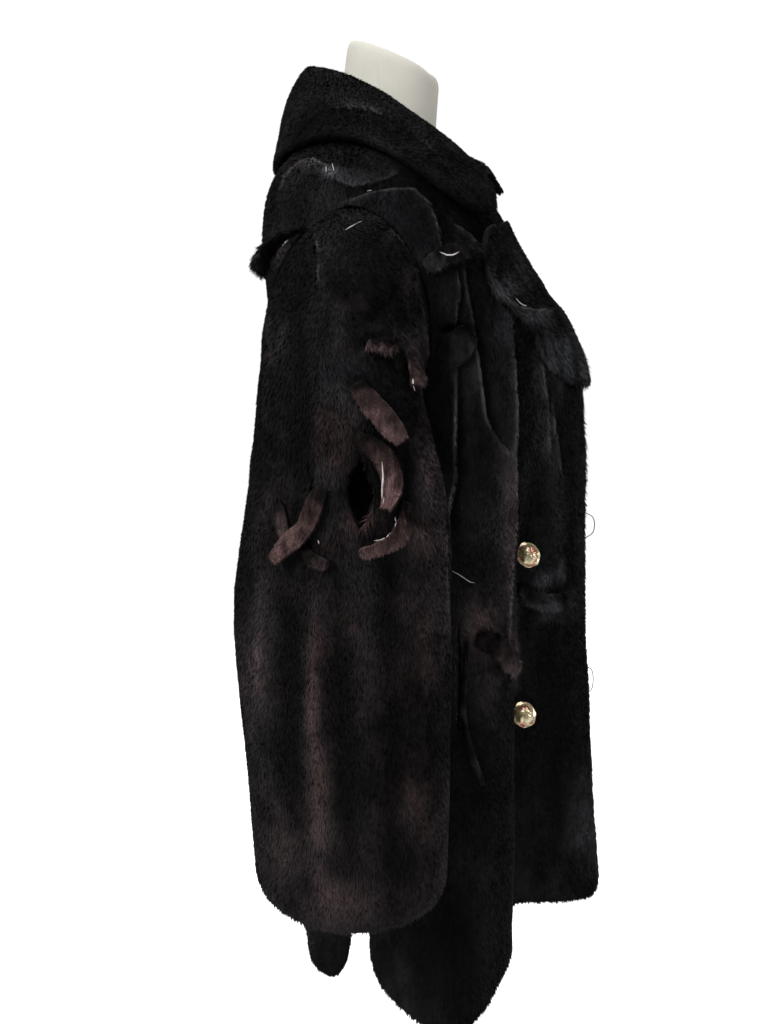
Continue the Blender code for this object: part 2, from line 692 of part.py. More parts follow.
# ---------------------------------------------------------------- torn strips
def build_strip(strip):
    """A ribbon over its panel: rooted at its first place, twisting as it lifts off."""
    surface = sleeve if strip.panel == "sleeve" else right_outer
    limits = {"low": 0.0, "high": len(SLEEVE)} if strip.panel == "sleeve" else {"high": NECKLINE_Z}
    path = [Vector(place) for place in strip.path]

    def middle(t):
        place = through(path, t)
        return surface(place.x, place.y)

    def at(i, j, lip):
        share = i / STRIP_ROWS
        t = share * (len(path) - 1)
        place = through(path, t)
        normal = normal_of(surface, place.x, place.y, **limits)
        ahead = (middle(min(t + 0.05, len(path) - 1)) - middle(max(t - 0.05, 0.0))).normalized()
        turn = math.radians(strip.twist) * share**2
        across = normal.cross(ahead) * math.cos(turn) + normal * math.sin(turn)
        facing = across.cross(ahead).normalized() * -1.0
        half = strip.width / 2 * (TIP_SHARE + (1 - TIP_SHARE) * math.sin(math.pi * share) ** 0.6)
        height = LIE + place.z * MILLIMETRE + half * abs(math.sin(turn))
        inner = middle(t) + normal * height + across * (half * (j - 1))
        crown = 1.0 if j == 1 else 0.6
        return inner + facing * (STRIP_WALL * crown), inner

    wall(strip.name, at, STRIP_ROWS, 2, WORN_FUR)


# ---------------------------------------------------------------- dress form and stand
def loft(name, rings, finish):
    """A closed body over rings that share one number of points."""
    sides = len(rings[0])
    points = [p for ring in rings for p in ring]
    faces = [tuple(range(sides)), tuple(range(len(points) - sides, len(points)))]
    for i in range(len(rings) - 1):
        for j in range(sides):
            k = (j + 1) % sides
            faces.append((i * sides + j, i * sides + k, (i + 1) * sides + k, (i + 1) * sides + j))
    return solid(name, points, faces, finish)


def form_ring(row):
    """A level oval, or one tipped forwards about its middle."""
    tilt = math.radians(row.tilt)
    ring = []
    for j in range(FORM_SIDES):
        a = 2 * math.pi * j / FORM_SIDES
        ahead = row.half_depth * math.cos(a)
        ring.append(
            Vector((
                -row.half_width * math.sin(a),
                row.mid_y - ahead * math.cos(tilt),
                row.z - ahead * math.sin(tilt),
            ))
        )
    return ring


def rest_ring(z):
    """The coat's inside, less the gap: here the form carries the coat."""
    ring = []
    for j in range(FORM_SIDES):
        angle = 360.0 * j / FORM_SIDES
        point = body(angle, z)
        normal = normal_of(body, angle, z, high=NECKLINE_Z)
        ahead = math.cos(math.radians(angle))
        clear = REST_GAP + (FRONT_CLEAR if ahead > 0 else BACK_CLEAR) * ahead**2
        ring.append(point - normal * (WALL + clear))
    return ring


def build_form():
    rings = [form_ring(row) for row in FORM]
    rings += [rest_ring(z) for z in REST_Z]
    rings += [form_ring(row) for row in NECK]
    loft("dress_form", rings, CLOTH)


def turned(name, outline, finish, sides=28):
    """A round body from an outline of (radius, z), starting and ending on the axis."""
    rings = [
        [
            Vector((r * math.cos(2 * math.pi * j / sides), r * math.sin(2 * math.pi * j / sides), z))
            for j in range(sides)
        ]
        for r, z in outline
    ]
    return loft(name, rings, finish)


def build_stand():
    turned(
        "stand_base",
        [
            (BASE_RADIUS - 0.002, 0.0),
            (BASE_RADIUS, 0.002),
            (BASE_RADIUS, BASE_EDGE - 0.003),
            (BASE_RADIUS - 0.004, BASE_EDGE),
            (BOSS_RADIUS + 0.030, BASE_EDGE + 0.003),
            (BOSS_RADIUS, BASE_EDGE + 0.010),
            (BOSS_RADIUS - 0.002, BOSS_TOP),
            (POLE_RADIUS + SEAM, BOSS_TOP),
            (POLE_RADIUS + SEAM, BORE_FLOOR),
        ],
        STEEL,
    )
    top = FORM[0].z - SEAM
    turned(
        "stand_pole",
        [
            (POLE_RADIUS, BORE_FLOOR + SEAM),
            (POLE_RADIUS, top - FLANGE - 0.012),
            (POLE_RADIUS + 0.008, top - FLANGE),
            (FLANGE_RADIUS, top - FLANGE),
            (FLANGE_RADIUS, top),
        ],
        STEEL,
        sides=20,
    )


# ---------------------------------------------------------------- buttons and loops
def build_buttons():
    """Domed buttons on short shanks, standing on their front."""
    outline = [(SHANK_RADIUS, 0.0), (SHANK_RADIUS, SHANK), (BUTTON_RADIUS, RIM)]
    for k in range(1, 5):
        a = math.pi / 2 * k / 5
        outline.append((BUTTON_RADIUS * math.cos(a), RIM + BUTTON_HEIGHT * math.sin(a)))
    for button in BUTTONS:
        surface = right_outer if button.side == "right" else left_outer
        normal = normal_of(surface, button.angle, button.z)
        made = turned(button.name, outline, GILT, sides=16)
        made.rotation_mode = "QUATERNION"
        made.rotation_quaternion = normal.to_track_quat("Z", "Y")
        made.location = surface(button.angle, button.z) + normal * button.seat


def build_loops():
    """Thread loops that stand out from the free edge."""
    for loop in LOOPS:
        points = []
        for z in (loop.top_z, loop.bottom_z):
            angle = edge_angle(z)
            outer = right_outer(angle, z)
            points.append(outer - normal_of(right_outer, angle, z) * (WALL * 0.5))
        top, bottom = points
        along = right_outer(FREE_EDGE - 3.0, loop.top_z) - right_outer(FREE_EDGE, loop.top_z)
        out = along.normalized()
        forward = normal_of(right_outer, FREE_EDGE, loop.top_z)
        bowed = (out * (1.0 - LOOP_FORWARD) + forward * LOOP_FORWARD).normalized()
        start, end = top + out * (SEAM + LOOP_THREAD), bottom + out * (SEAM + LOOP_THREAD)
        line = bpy.data.curves.new(loop.name, "CURVE")
        line.dimensions = "3D"
        line.bevel_depth = LOOP_THREAD
        line.bevel_resolution = 1
        line.use_fill_caps = True
        spline = line.splines.new("POLY")
        count = 13
        spline.points.add(count - 1)
        for k in range(count):
            share = k / (count - 1)
            bow = math.sin(math.pi * share)
            place = start.lerp(end, share) + bowed * (loop.reach * bow)
            place.z += loop.sag * math.sin(2 * math.pi * share) * bow
            spline.points[k].co = (*place, 1.0)
        line.materials.append(material(loop.name, THREAD))
        bpy.context.scene.collection.objects.link(bpy.data.objects.new(loop.name, line))


def main():
    for thing in list(bpy.data.objects):
        bpy.data.objects.remove(thing)
    build_form()
    build_stand()
    build_body()
    build_sleeves()
    build_collar()
    build_reveres()
    for strip in STRIPS:
        build_strip(strip)
    build_buttons()
    build_loops()


main()
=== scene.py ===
"""The looks of a worn beaver fur coat on a limbless dress form.

Each panel of the coat is a thin shell on its solid's form, with creases pressed
in along listed lines, and a separate piece of fur that grows on it. Lines
and patches on the side that the picture shows are placed in the picture's own
pixels (768 x 1024); the other side carries their mirror image.
"""

import math
from collections import namedtuple

import bmesh
import bpy
import numpy as np
from mathutils import Matrix, Vector, kdtree, noise
from mathutils.bvhtree import BVHTree


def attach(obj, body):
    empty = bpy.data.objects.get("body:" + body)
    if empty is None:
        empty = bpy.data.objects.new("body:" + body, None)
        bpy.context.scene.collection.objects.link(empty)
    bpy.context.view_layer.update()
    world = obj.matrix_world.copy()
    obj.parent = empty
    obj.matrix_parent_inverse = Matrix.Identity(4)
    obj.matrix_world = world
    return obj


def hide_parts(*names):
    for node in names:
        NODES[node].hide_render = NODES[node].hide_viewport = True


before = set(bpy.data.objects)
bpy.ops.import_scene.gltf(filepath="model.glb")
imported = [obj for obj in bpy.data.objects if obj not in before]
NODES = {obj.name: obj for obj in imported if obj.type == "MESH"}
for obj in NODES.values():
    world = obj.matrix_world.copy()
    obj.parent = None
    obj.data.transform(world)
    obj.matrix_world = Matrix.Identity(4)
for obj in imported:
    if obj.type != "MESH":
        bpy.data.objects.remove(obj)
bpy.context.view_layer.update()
MM = 0.001

# ---- the picture's camera ----
EYE = Vector((-0.973, -0.318, 1.09))
AHEAD = Vector((0.927, 0.3746, 0.0)).normalized()
PITCH = math.radians(8.0)
FOCUS = 850.0                  # focal length in pixels of the picture
PICTURE = (768, 1024)
AXIS_PX = 380.0                # where the optical axis meets the picture's width
RIGHT = Vector((AHEAD.y, -AHEAD.x, 0.0))
LOOK = AHEAD * math.cos(PITCH) - Vector((0, 0, math.sin(PITCH)))
UP = AHEAD * math.sin(PITCH) + Vector((0, 0, math.cos(PITCH)))

# ---- cloth and fur ----
PILE = 0.0042                  # length of the sheared fur
SINK = 0.0021                  # how far the skin lies under the solid's outer face
BLADES = 0.225e6               # blades for each square metre
CLOSE_BLADES = 0.39e6          # the same on the panels nearest to the picture's camera
CLOSE = ("right_front", "right_top_sleeve", "collar", "right_revere")
RAGGED = 0.0010                # how far a torn strip's form strays from its solid's
RIM_LENGTH = 0.75              # length of the pile on a cut edge, as a share of the rest
RIM_STRAY = 0.8                # and how much longer it gets there where it is unkempt
RIM_GROWTH = 0.8               # blades on a cut edge, or under a turned panel, as a share
SHARP = math.radians(50)       # an edge of a solid that turns further than this stays an edge
WELD = 1e-6                    # corners of a solid's mesh that are nearer than this are one
SEED = 7
EDGE_TURN = 1.3                # pixels over which a fold's edge turns under
MIRRORED_TURN = EDGE_TURN * 5  # the same on the side out of sight, where edges are softer
EDGE_SPREAD = 1.2              # width of the light on an edge, as a share of its turn
FULL_LIP = 5.0                 # height in mm of a fold's edge that is lit in full
EDGE_LIGHT = 0.72              # how much painted highlight the pile gets along a fold's edge
EDGE_DARK = 0.26               # and how much painted shade in its lee
EDGE_CROWN = 0.19              # painted highlight on the cloth that rises to a fold's edge
TROUGH_DARK = 0.030            # painted shade for each millimetre of a trough, painted highlight for each of a ridge
GLINT_MEAN = 0.6               # the light comes and goes along an edge: its mean,
GLINT_SWING = 0.4              # how far it swings
GLINT_WAVES = 11.0             # and how often, in radians over the path
FADE_START = 0.07              # a crease fades at both ends of its path: where it starts,
FADE_SPAN = 0.86               # how much of the sine's arch it takes
FADE_POWER = 0.6               # and how flat the arch is
FINE_REACH = 13                # pixels on each side of a fold's edge that get the finest mesh
CREASE_REACH = 1.5             # widths of a crease on each side of it that get a finer mesh
SHOWN = 0.10                   # a place that faces the picture's eye by less gets no finer mesh
FAR_HALF = 0.02                # nor does one further than this across the coat's middle
WAVE_SIZE, WAVE_DEPTH = 0.075, 0.0016       # the cloth's broad unevenness
RIPPLE_SIZE, RIPPLE_DEPTH = 0.028, 0.0008   # and its fine one
BACK_START = 0.1               # a place that looks back by more than this takes the back's creases,
BACK_REACH = 0.3               # in full from this much further on
NOISE_STEPS = (3.7, 1.3, 5.1)  # how far a seed shifts the noise

# ---- wear where no patch is painted ----
PLAIN_TONE = 0.09
PLAIN_STRAY = 0.10
CLOUD_SIZE = 0.06
CLOUD_STRETCH = (1.0, 1.0, 0.5)
CLOUD_TONE = 0.10              # how far clouds lighten or darken the pile
CLOUD_SHOWN = 0.5              # how much less they do so on the side in the picture
EDGE_WARM = 0.35               # red brown where an edge catches light
HIDDEN_WARM = 0.22             # red brown on the side out of sight,
HIDDEN_SWING = 0.25            # and how far clouds change it
LOW_SLEEVE = 1.00              # under this height a sleeve is more worn,
LOW_FADE = 0.15                # in full from this much lower
LOW_TONE = 0.08
LOW_WARM = 0.30
NAP_SIZE = 0.05                # the nap falls, and sways over stretches of this size
NAP_SWAY = 0.45

# ---- how noise breaks up the painted wear, painted highlights and painted shade in the fur's colour ----
PATCH_GAIN = 4.6               # what broad patches add to the tone or take from it, as a share of it
BLOTCH_GAIN = 1.6              # and blotches
PATCH_LEVEL = 0.16             # what both add or take anywhere
GRAIN_LEVEL = 0.08             # what fine grain adds or takes
BLADE_LEVEL = 0.06             # and how far blades differ
WORN_AND_LIT_TONE = 0.30               # a tone over this, from wear and from painted highlights, shows whatever the noise says,
WORN_AND_LIT_GAIN = 0.38               # by this share
LEVEL_LIFT = 0.02
LEVEL_POWER = 1.35
WARM_BREAK = 0.3               # how far broad patches change the red brown

FUR_PANELS = [
    "back", "right_front", "left_front", "right_top_sleeve", "right_under_sleeve",
    "left_top_sleeve", "left_under_sleeve", "collar", "right_revere", "left_revere",
]
TURNED = ("collar", "right_revere", "left_revere")   # their under face is fur as well
STRIPS = [
    "shoulder_flap_back", "shoulder_flap_front", "sleeve_tuft", "sleeve_strip_1", "sleeve_strip_2",
    "sleeve_strip_3", "sleeve_strip_4", "sleeve_strip_5", "sleeve_strip_6", "sleeve_strip_7",
    "front_pouch", "front_strip", "front_lobe", "front_curl",
]

# ---- the loose strips: how light, how red brown and how unkempt their pile is ----
Wear = namedtuple("Wear", "tone warm stray")
STRIP_WEAR = {
    "shoulder_flap_back": Wear(0.42, 0.25, 0.80),
    "shoulder_flap_front": Wear(0.30, 0.15, 0.45),
    "sleeve_tuft": Wear(0.76, 0.60, 0.90),
    "sleeve_strip_1": Wear(0.74, 0.72, 0.15),
    "sleeve_strip_2": Wear(0.80, 0.75, 0.20),
    "sleeve_strip_3": Wear(0.74, 0.70, 0.40),
    "sleeve_strip_4": Wear(0.70, 0.75, 0.15),
    "sleeve_strip_5": Wear(0.55, 0.60, 0.30),
    "sleeve_strip_6": Wear(0.60, 0.60, 0.60),
    "sleeve_strip_7": Wear(0.72, 0.60, 0.40),
    "front_pouch": Wear(0.30, 0.10, 0.05),
    "front_strip": Wear(0.20, 0.25, 0.20),
    "front_lobe": Wear(0.78, 0.45, 0.85),
    "front_curl": Wear(0.62, 0.10, 0.95),
}

# ---- bare edges of torn skin and loose threads: their width in mm, their path in pixels ----
Mark = namedtuple("Mark", "width path")
MARKS = [
    Mark(1.4, [(440, 252), (447, 255), (453, 255), (459, 252)]),
    Mark(2.1, [(281, 247), (284, 243), (288, 240)]),
    Mark(1.1, [(345, 230), (350, 227), (357, 223)]),
    Mark(0.7, [(357, 223), (362, 221)]),
    Mark(0.7, [(367, 191), (372, 190)]),
    Mark(0.8, [(326, 166), (326, 172)]),
    Mark(0.8, [(332, 163), (334, 171)]),
    Mark(1.8, [(413, 379), (413, 385), (415, 391)]),
    Mark(1.5, [(382, 462), (383, 476), (382, 490), (382, 498)]),
    Mark(0.7, [(384, 497), (383, 504)]),
    Mark(1.3, [(374, 541), (381, 540), (387, 537), (390, 533)]),
    Mark(0.9, [(395, 527), (396, 522), (395, 517)]),
    Mark(1.1, [(318, 540), (319, 544)]),
    Mark(1.5, [(516, 298), (519, 302), (523, 305), (527, 306)]),
    Mark(0.7, [(452, 571), (458, 574), (464, 578), (470, 582), (475, 583)]),
]
MARK_LIFT = 0.0045             # how far a mark stands over the skin
MARK_STEPS = 4                 # points of a mark for each stretch of its path
MARK_END = 0.25                # its width at its ends, as a share
MARK_ROUND = 0.7               # how blunt its ends are
MARK_THICK = 0.0004
FACING_START = 0.10            # how far past edge-on a surface still takes marks from the picture,
FACING_REACH = 0.35            # and from there on, how much nearer to face-on it takes them in full
STRIP_SINK = 0.0008            # how far a strip's skin lies under its solid's face
POUCH_SINK = 0.0058            # the pouch merges with the fold that it hangs from
STRIP_BLADES = 1.1e6
STRIP_WIDTH = 0.0007           # of a blade
STRIP_PILE = 0.0024            # length of a strip's pile,
STRIP_STRAY = 0.0020           # and how much longer it gets where it is unkempt
STRIP_LENGTH = 0.9             # on its edges and faces alike, as a share
STRIP_MOTTLE = 0.22            # how far mottle and streaks lighten or darken a strip
MOTTLE_SIZE = 0.011
STREAK_SIZE, STREAK_STRETCH = 0.0045, (1.0, 1.0, 0.3)
ROOT_TONE = 0.03               # how much of its tone a strip has at its root,
DOWN_TONE = 1.05               # and how much more at its tip
RAGGED_SIZE = 0.007            # of the waves in its form,
RAGGED_LEAST, RAGGED_STRAY = 0.8, 3.6       # which grow where its pile is unkempt

# ---- creases on the side in the picture: a path in pixels, its width in pixels, mm of depth ----
# a trough's depth is +, a ridge's is -; lip: how far the cloth on the path's left stands over
# that on its right, as a fold's edge does
# each crease also paints shade into its trough and a highlight onto a ridge; one with a lip paints a
# highlight along its edge and shade in its lee
Crease = namedtuple("Crease", "panels width depth lip path")


def rows_for(kind, panels, rows):
    """One entry for each row, all of them for the same panels."""
    return [kind(panels, *row) for row in rows]


BODY = ("right_front", "left_front", "back", "right_revere", "left_revere")
SLEEVE = ("right_top_sleeve", "right_under_sleeve", "left_top_sleeve", "left_under_sleeve", "sleeve")
COLLAR = ("collar",)
CREASES = rows_for(Crease, BODY, [
    # front: folds that fall from the shoulder and the lapel, each with a sharp edge
    (6, 1.0, -4.0, [(459, 274), (461, 292), (458, 306), (457, 326)]),
    (9, 1.0, -6.0, [(466, 270), (472, 308), (476, 338), (480, 362), (484, 390), (487, 416), (494, 432),
                    (508, 450)]),
    (7, 2.0, -4.5, [(476, 332), (474, 344), (468, 354), (457, 361)]),
    (5, 4.5, 0.0, [(440, 330), (450, 329), (466, 330), (474, 334)]),
    (9, 1.0, -6.5, [(457, 362), (457, 400), (456, 440), (456, 480), (450, 508), (446, 530)]),
    (10, 3.0, 0.0, [(498, 300), (500, 350), (503, 400), (509, 440)]),
    (8, -1.5, -6.0, [(513, 312), (514, 340), (517, 372), (518, 404), (518, 430), (515, 460), (516, 520),
                     (513, 562), (511, 600), (510, 640)]),
    (11, 3.5, 0.0, [(531, 350), (538, 400), (544, 450), (542, 520)]),
    (7, -1.0, -4.5, [(537, 334), (544, 362), (548, 392), (551, 424), (553, 450)]),
    (6, 0.0, -3.5, [(556, 404), (558, 418), (560, 440), (563, 470)]),
    (9, 3.0, 0.0, [(574, 400), (577, 480), (574, 560), (578, 640)]),
    (11, 3.0, 0.0, [(470, 560), (476, 640), (470, 720), (474, 800)]),
    (10, -2.5, 0.0, [(488, 600), (494, 690), (492, 780), (490, 870)]),
    (12, 3.5, 0.0, [(548, 640), (556, 720), (552, 800), (560, 880)]),
    (13, -2.5, 0.0, [(574, 660), (580, 760), (584, 850)]),
    (13, 3.5, 0.0, [(420, 940), (418, 975), (424, 1005)]),
    (13, 3.0, 0.0, [(462, 900), (458, 950), (460, 1000)]),
    (7, 3.0, 0.0, [(322, 935), (318, 955), (322, 970)]),
    # the lapel's torn lobes, one over the other
    (9, 0.0, -2.2, [(500, 262), (497, 276), (506, 292), (520, 304), (536, 308), (556, 306)]),
    (7, 3.0, 0.0, [(538, 288), (552, 292), (566, 300)]),
    # below the collar, over the shoulder and down from it
    (9, 3.5, 0.0, [(296, 176), (322, 160), (352, 158), (388, 172)]),
    (8, 2.0, -3.5, [(432, 202), (440, 224), (444, 246), (441, 262)]),
    (8, 1.0, -4.0, [(460, 222), (472, 232), (482, 246), (488, 262)]),
    (8, 3.0, 0.0, [(448, 214), (458, 236), (470, 256)]),
    (8, 4.0, 0.0, [(275, 180), (270, 215), (268, 250)]),
    (8, 0.0, -3.0, [(274, 194), (282, 174), (296, 161), (310, 155), (326, 160)]),
    (7, 0.0, -2.0, [(352, 196), (369, 190), (392, 186), (415, 187), (432, 202), (440, 223)]),
    (7, 0.0, 1.4, [(330, 178), (350, 184), (372, 182), (396, 172)]),
])
CREASES += rows_for(Crease, SLEEVE, [
    # armhole, cap and upper sleeve
    (8, 1.5, 0.0, [(292, 228), (304, 220), (330, 208), (369, 192), (392, 187), (415, 190), (432, 204),
                   (438, 226)]),
    (8, 3.5, 0.0, [(384, 236), (396, 222), (404, 238)]),
    (7, 0.0, 3.0, [(312, 232), (317, 250), (316, 280)]),
    (10, 4.0, 0.0, [(409, 268), (412, 310), (414, 350)]),
    (9, 3.5, 0.0, [(335, 284), (352, 300), (362, 318), (376, 314), (398, 290)]),
    (8, 4.0, 0.0, [(352, 350), (372, 338), (388, 340), (400, 352)]),
    (10, 3.5, 0.0, [(300, 262), (292, 310), (296, 360), (290, 420)]),
    (9, 4.0, 0.0, [(310, 392), (302, 420), (300, 450), (296, 480)]),
    (10, -3.0, 0.0, [(318, 400), (338, 392), (356, 402), (362, 430)]),
    (10, 3.0, 0.0, [(240, 430), (262, 440), (290, 470)]),
    (11, 5.0, 0.0, [(262, 470), (280, 500), (296, 520), (306, 545)]),
    (9, 4.5, 0.0, [(402, 446), (410, 460), (408, 490), (416, 520)]),
    (9, 4.0, 0.0, [(390, 556), (394, 576), (400, 600)]),
    (8, 4.0, 0.0, [(416, 520), (430, 526), (446, 520)]),
    (6, 0.0, -2.5, [(418, 262), (426, 310), (433, 380), (440, 440), (447, 520), (450, 580), (452, 640)]),
    # lower sleeve: long soft flutes down to the cuff
    (14, 4.0, 0.0, [(284, 580), (286, 700), (292, 800), (300, 880)]),
    (14, -3.0, 0.0, [(310, 600), (312, 700), (318, 800), (326, 890)]),
    (13, 4.0, 0.0, [(338, 590), (344, 680), (346, 780), (350, 900)]),
    (15, -2.5, 0.0, [(366, 600), (370, 720), (374, 820)]),
    (13, 4.5, 0.0, [(394, 580), (400, 690), (398, 790), (396, 900)]),
    (13, -2.5, 0.0, [(424, 600), (428, 700), (426, 800)]),
    (12, 4.0, 0.0, [(244, 560), (246, 600), (258, 640)]),
])
CREASES += rows_for(Crease, COLLAR, [
    # collar: the roll with a hollow under it in painted shade, and soft dents
    (11, 1.6, 0.8, [(284, 152), (292, 134), (304, 118), (320, 108), (341, 104), (372, 106), (402, 120),
                    (427, 141), (450, 167)]),
    (10, 4.0, 0.0, [(298, 138), (316, 124), (346, 120), (382, 127), (408, 141), (426, 164)]),
    (9, 3.0, 0.0, [(306, 82), (340, 84), (372, 92)]),
    (8, 3.5, 0.0, [(452, 168), (464, 178), (474, 196)]),
    (7, 2.5, 0.0, [(428, 132), (446, 152), (470, 166), (490, 184)]),
])
# ---- creases on the back: a path in millimetres across and up, width and depth in mm ----
BACK_CREASES = rows_for(Crease, BODY, [
    (22, 5.0, 0.0, [(-60, 1330), (-20, 1240), (-30, 1120), (-20, 980)]),
    (22, 5.0, 0.0, [(80, 1320), (50, 1230), (64, 1100), (56, 960)]),
    (26, -3.5, 0.0, [(10, 1260), (18, 1120), (14, 960), (24, 820)]),
    (20, 4.5, 0.0, [(-128, 1230), (-96, 1150), (-84, 1040), (-92, 900)]),
    (20, 4.5, 0.0, [(130, 1220), (104, 1140), (98, 1020), (100, 880)]),
    (18, 3.5, 0.0, [(-110, 1285), (-40, 1268), (30, 1275), (104, 1290)]),
    (24, 4.0, 0.0, [(-40, 800), (-52, 680), (-46, 560), (-56, 450)]),
    (24, 4.0, 0.0, [(36, 820), (46, 700), (40, 570), (50, 450)]),
    (24, -3.0, 0.0, [(0, 780), (-6, 640), (2, 500)]),
])

# ---- wear, painted highlights and painted shade on the side in the picture: centre and half sizes in pixels ----
# tone: lighter or darker pile; warm: red brown; stray: longer, looser hair
Patch = namedtuple("Patch", "panels x y wide high tone warm stray")
PATCHES = rows_for(Patch, SLEEVE, [
    # torn part of the sleeve: a worn brown field, with painted shadow around and under the strips
    (336, 446, 27, 36, 0.24, 0.66, 0.10),
    (322, 420, 16, 20, 0.08, 0.40, 0.10),
    (300, 450, 12, 34, -0.14, 0.20, 0.10),
    (378, 440, 20, 32, -0.10, 0.20, 0.30),
    (362, 488, 16, 26, -0.16, 0.30, 0.70),
    (362, 520, 22, 14, 0.30, 0.75, 0.90),
    (330, 545, 26, 14, 0.16, 0.50, 0.60),
    (276, 500, 20, 30, 0.10, 0.45, 0.30),
    (268, 548, 22, 22, -0.10, 0.20, 0.20),
    (430, 470, 14, 60, 0.38, 0.42, 0.15),
    (424, 540, 22, 26, 0.30, 0.42, 0.30),
    (420, 420, 14, 26, 0.06, 0.40, 0.20),
    (416, 352, 10, 26, 0.34, 0.40, 0.60),
    (396, 336, 22, 12, 0.20, 0.25, 0.60),
    (345, 345, 22, 12, 0.18, 0.30, 0.40),
    (410, 282, 8, 22, 0.20, 0.45, 0.10),
    # lower sleeve: brown streaks and dark clouds
    (318, 640, 14, 40, 0.20, 0.30, 0.05),
    (312, 700, 9, 50, 0.22, 0.25, 0.05),
    (350, 620, 12, 24, 0.12, 0.35, 0.05),
    (400, 600, 18, 20, 0.10, 0.25, 0.05),
    (402, 680, 12, 26, 0.20, 0.35, 0.05),
    (318, 790, 12, 60, 0.26, 0.30, 0.05),
    (345, 900, 34, 20, 0.20, 0.25, 0.10),
    (284, 840, 14, 44, 0.18, 0.15, 0.10),
    (408, 780, 22, 30, 0.20, 0.35, 0.05),
    (428, 640, 12, 60, 0.18, 0.25, 0.05),
    (424, 830, 14, 40, 0.16, 0.20, 0.05),
    (256, 650, 10, 70, 0.36, 0.10, 0.10),
    (300, 590, 30, 14, 0.08, 0.20, 0.15),
    (352, 780, 20, 70, -0.12, -0.10, 0.0),
    (272, 750, 18, 34, -0.10, -0.25, 0.0),
    (400, 868, 36, 16, -0.12, -0.10, 0.0),
    (290, 650, 12, 40, -0.08, -0.10, 0.0),
    (382, 610, 14, 30, -0.10, -0.10, 0.0),
    (328, 868, 8, 18, -0.12, 0.0, 0.0),
])
PATCHES += rows_for(Patch, BODY, [
    # shoulder
    (276, 240, 12, 18, 0.34, 0.35, 0.80),
    (304, 158, 16, 10, 0.40, 0.20, 0.15),
    (328, 168, 8, 7, 0.45, 0.05, 0.40),
    (286, 176, 10, 14, 0.22, 0.20, 0.20),
    (440, 258, 26, 8, 0.24, 0.20, 0.60),
    (452, 218, 14, 10, 0.12, 0.10, 0.20),
])
PATCHES += rows_for(Patch, SLEEVE, [
    # cap and upper sleeve
    (350, 285, 60, 44, -0.07, 0.0, 0.0),
    (352, 302, 22, 14, 0.10, 0.40, 0.10),
    (352, 212, 18, 6, 0.14, 0.10, 0.20),
    (392, 226, 9, 9, 0.24, 0.30, 0.20),
    # painted highlight along the sleeve's left edge
    (266, 340, 4, 70, 0.25, 0.40, 0.30),
    (278, 350, 9, 60, 0.26, 0.20, 0.10),
])
PATCHES += rows_for(Patch, BODY, [
    # the lapel's torn lobes and its dark lee
    (511, 287, 13, 14, 0.55, 0.05, 0.80),
    (538, 313, 17, 10, 0.70, 0.05, 0.80),
    (563, 352, 15, 24, 0.80, 0.02, 0.70),
    (584, 372, 8, 14, 0.55, 0.02, 0.60),
    (530, 262, 10, 30, 0.18, 0.20, 0.20),
    # front
    (520, 440, 90, 130, 0.04, 0.0, 0.0),
    (482, 642, 24, 44, 0.26, 0.25, 0.05),
    # painted highlight, warm, along a fold's edge
    (507, 520, 8, 76, 0.32, 0.35, 0.10),
    (545, 580, 10, 11, 0.50, 0.05, 0.95),
    (563, 572, 5, 10, 0.70, 0.05, 0.95),
    (526, 597, 10, 9, 0.40, 0.05, 0.95),
    (546, 614, 18, 7, 0.45, 0.05, 0.95),
    (458, 350, 14, 16, 0.30, 0.15, 0.30),
    (468, 430, 9, 80, 0.26, 0.10, 0.05),
    (500, 370, 9, 80, 0.20, 0.05, 0.05),
    (480, 520, 20, 40, 0.12, 0.05, 0.05),
    (548, 410, 12, 60, 0.24, 0.15, 0.10),
    (553, 585, 26, 9, 0.34, 0.05, 0.90),
    (562, 607, 18, 8, 0.34, 0.05, 0.90),
    (484, 612, 22, 32, 0.30, 0.35, 0.20),
    (494, 640, 18, 10, 0.44, 0.40, 0.90),
    (497, 666, 8, 7, -0.20, 0.0, 0.60),
    (490, 700, 16, 26, 0.12, 0.20, 0.30),
    (515, 645, 5, 44, 0.34, 0.25, 0.90),
    (585, 430, 6, 90, 0.30, 0.10, 0.95),
    (597, 760, 4, 120, 0.20, 0.05, 0.20),
    (582, 845, 16, 36, 0.30, 0.05, 0.10),
    (556, 884, 30, 14, 0.18, 0.05, 0.10),
    (400, 985, 20, 30, 0.12, 0.10, 0.20),
    (556, 596, 8, 6, -0.16, 0.0, 0.60),
    # painted shade over the front's lower part
    (485, 800, 30, 70, -0.06, 0.0, 0.0),
    (450, 965, 56, 50, -0.10, 0.25, 0.0),
    (550, 720, 40, 70, -0.07, 0.0, 0.0),
])
PATCHES += rows_for(Patch, COLLAR, [
    # collar: painted highlights along the roll's edge, painted shade in the hollow under it and on its top
    (424, 142, 24, 7, 0.20, 0.10, 0.05),
    (466, 176, 18, 10, 0.18, 0.10, 0.05),
    (345, 122, 44, 7, -0.06, 0.0, 0.0),
    (300, 84, 22, 20, -0.04, 0.0, 0.0),
])


# ---------------------------------------------------------------- camera and light
def put(name, data):
    """A new object in the scene."""
    thing = bpy.data.objects.new(name, data)
    bpy.context.scene.collection.objects.link(thing)
    return thing


def turn_to(thing, way):
    """A camera or lamp looks along a direction."""
    thing.rotation_mode = "QUATERNION"
    thing.rotation_quaternion = way.to_track_quat("-Z", "Y")


def build_camera():
    data = bpy.data.cameras.new("camera")
    data.sensor_width = 36.0
    data.lens = FOCUS * data.sensor_width / PICTURE[1]
    data.shift_x = (PICTURE[0] / 2 - AXIS_PX) / PICTURE[1]
    data.clip_start = 0.05
    camera = put("camera", data)
    camera.location = EYE
    turn_to(camera, LOOK)
    bpy.context.scene.camera = camera


def area_light(name, place, target, size, power):
    data = bpy.data.lights.new(name, "AREA")
    data.size = size
    data.energy = power
    light = put(name, data)
    light.location = place
    turn_to(light, Vector(target) - Vector(place))


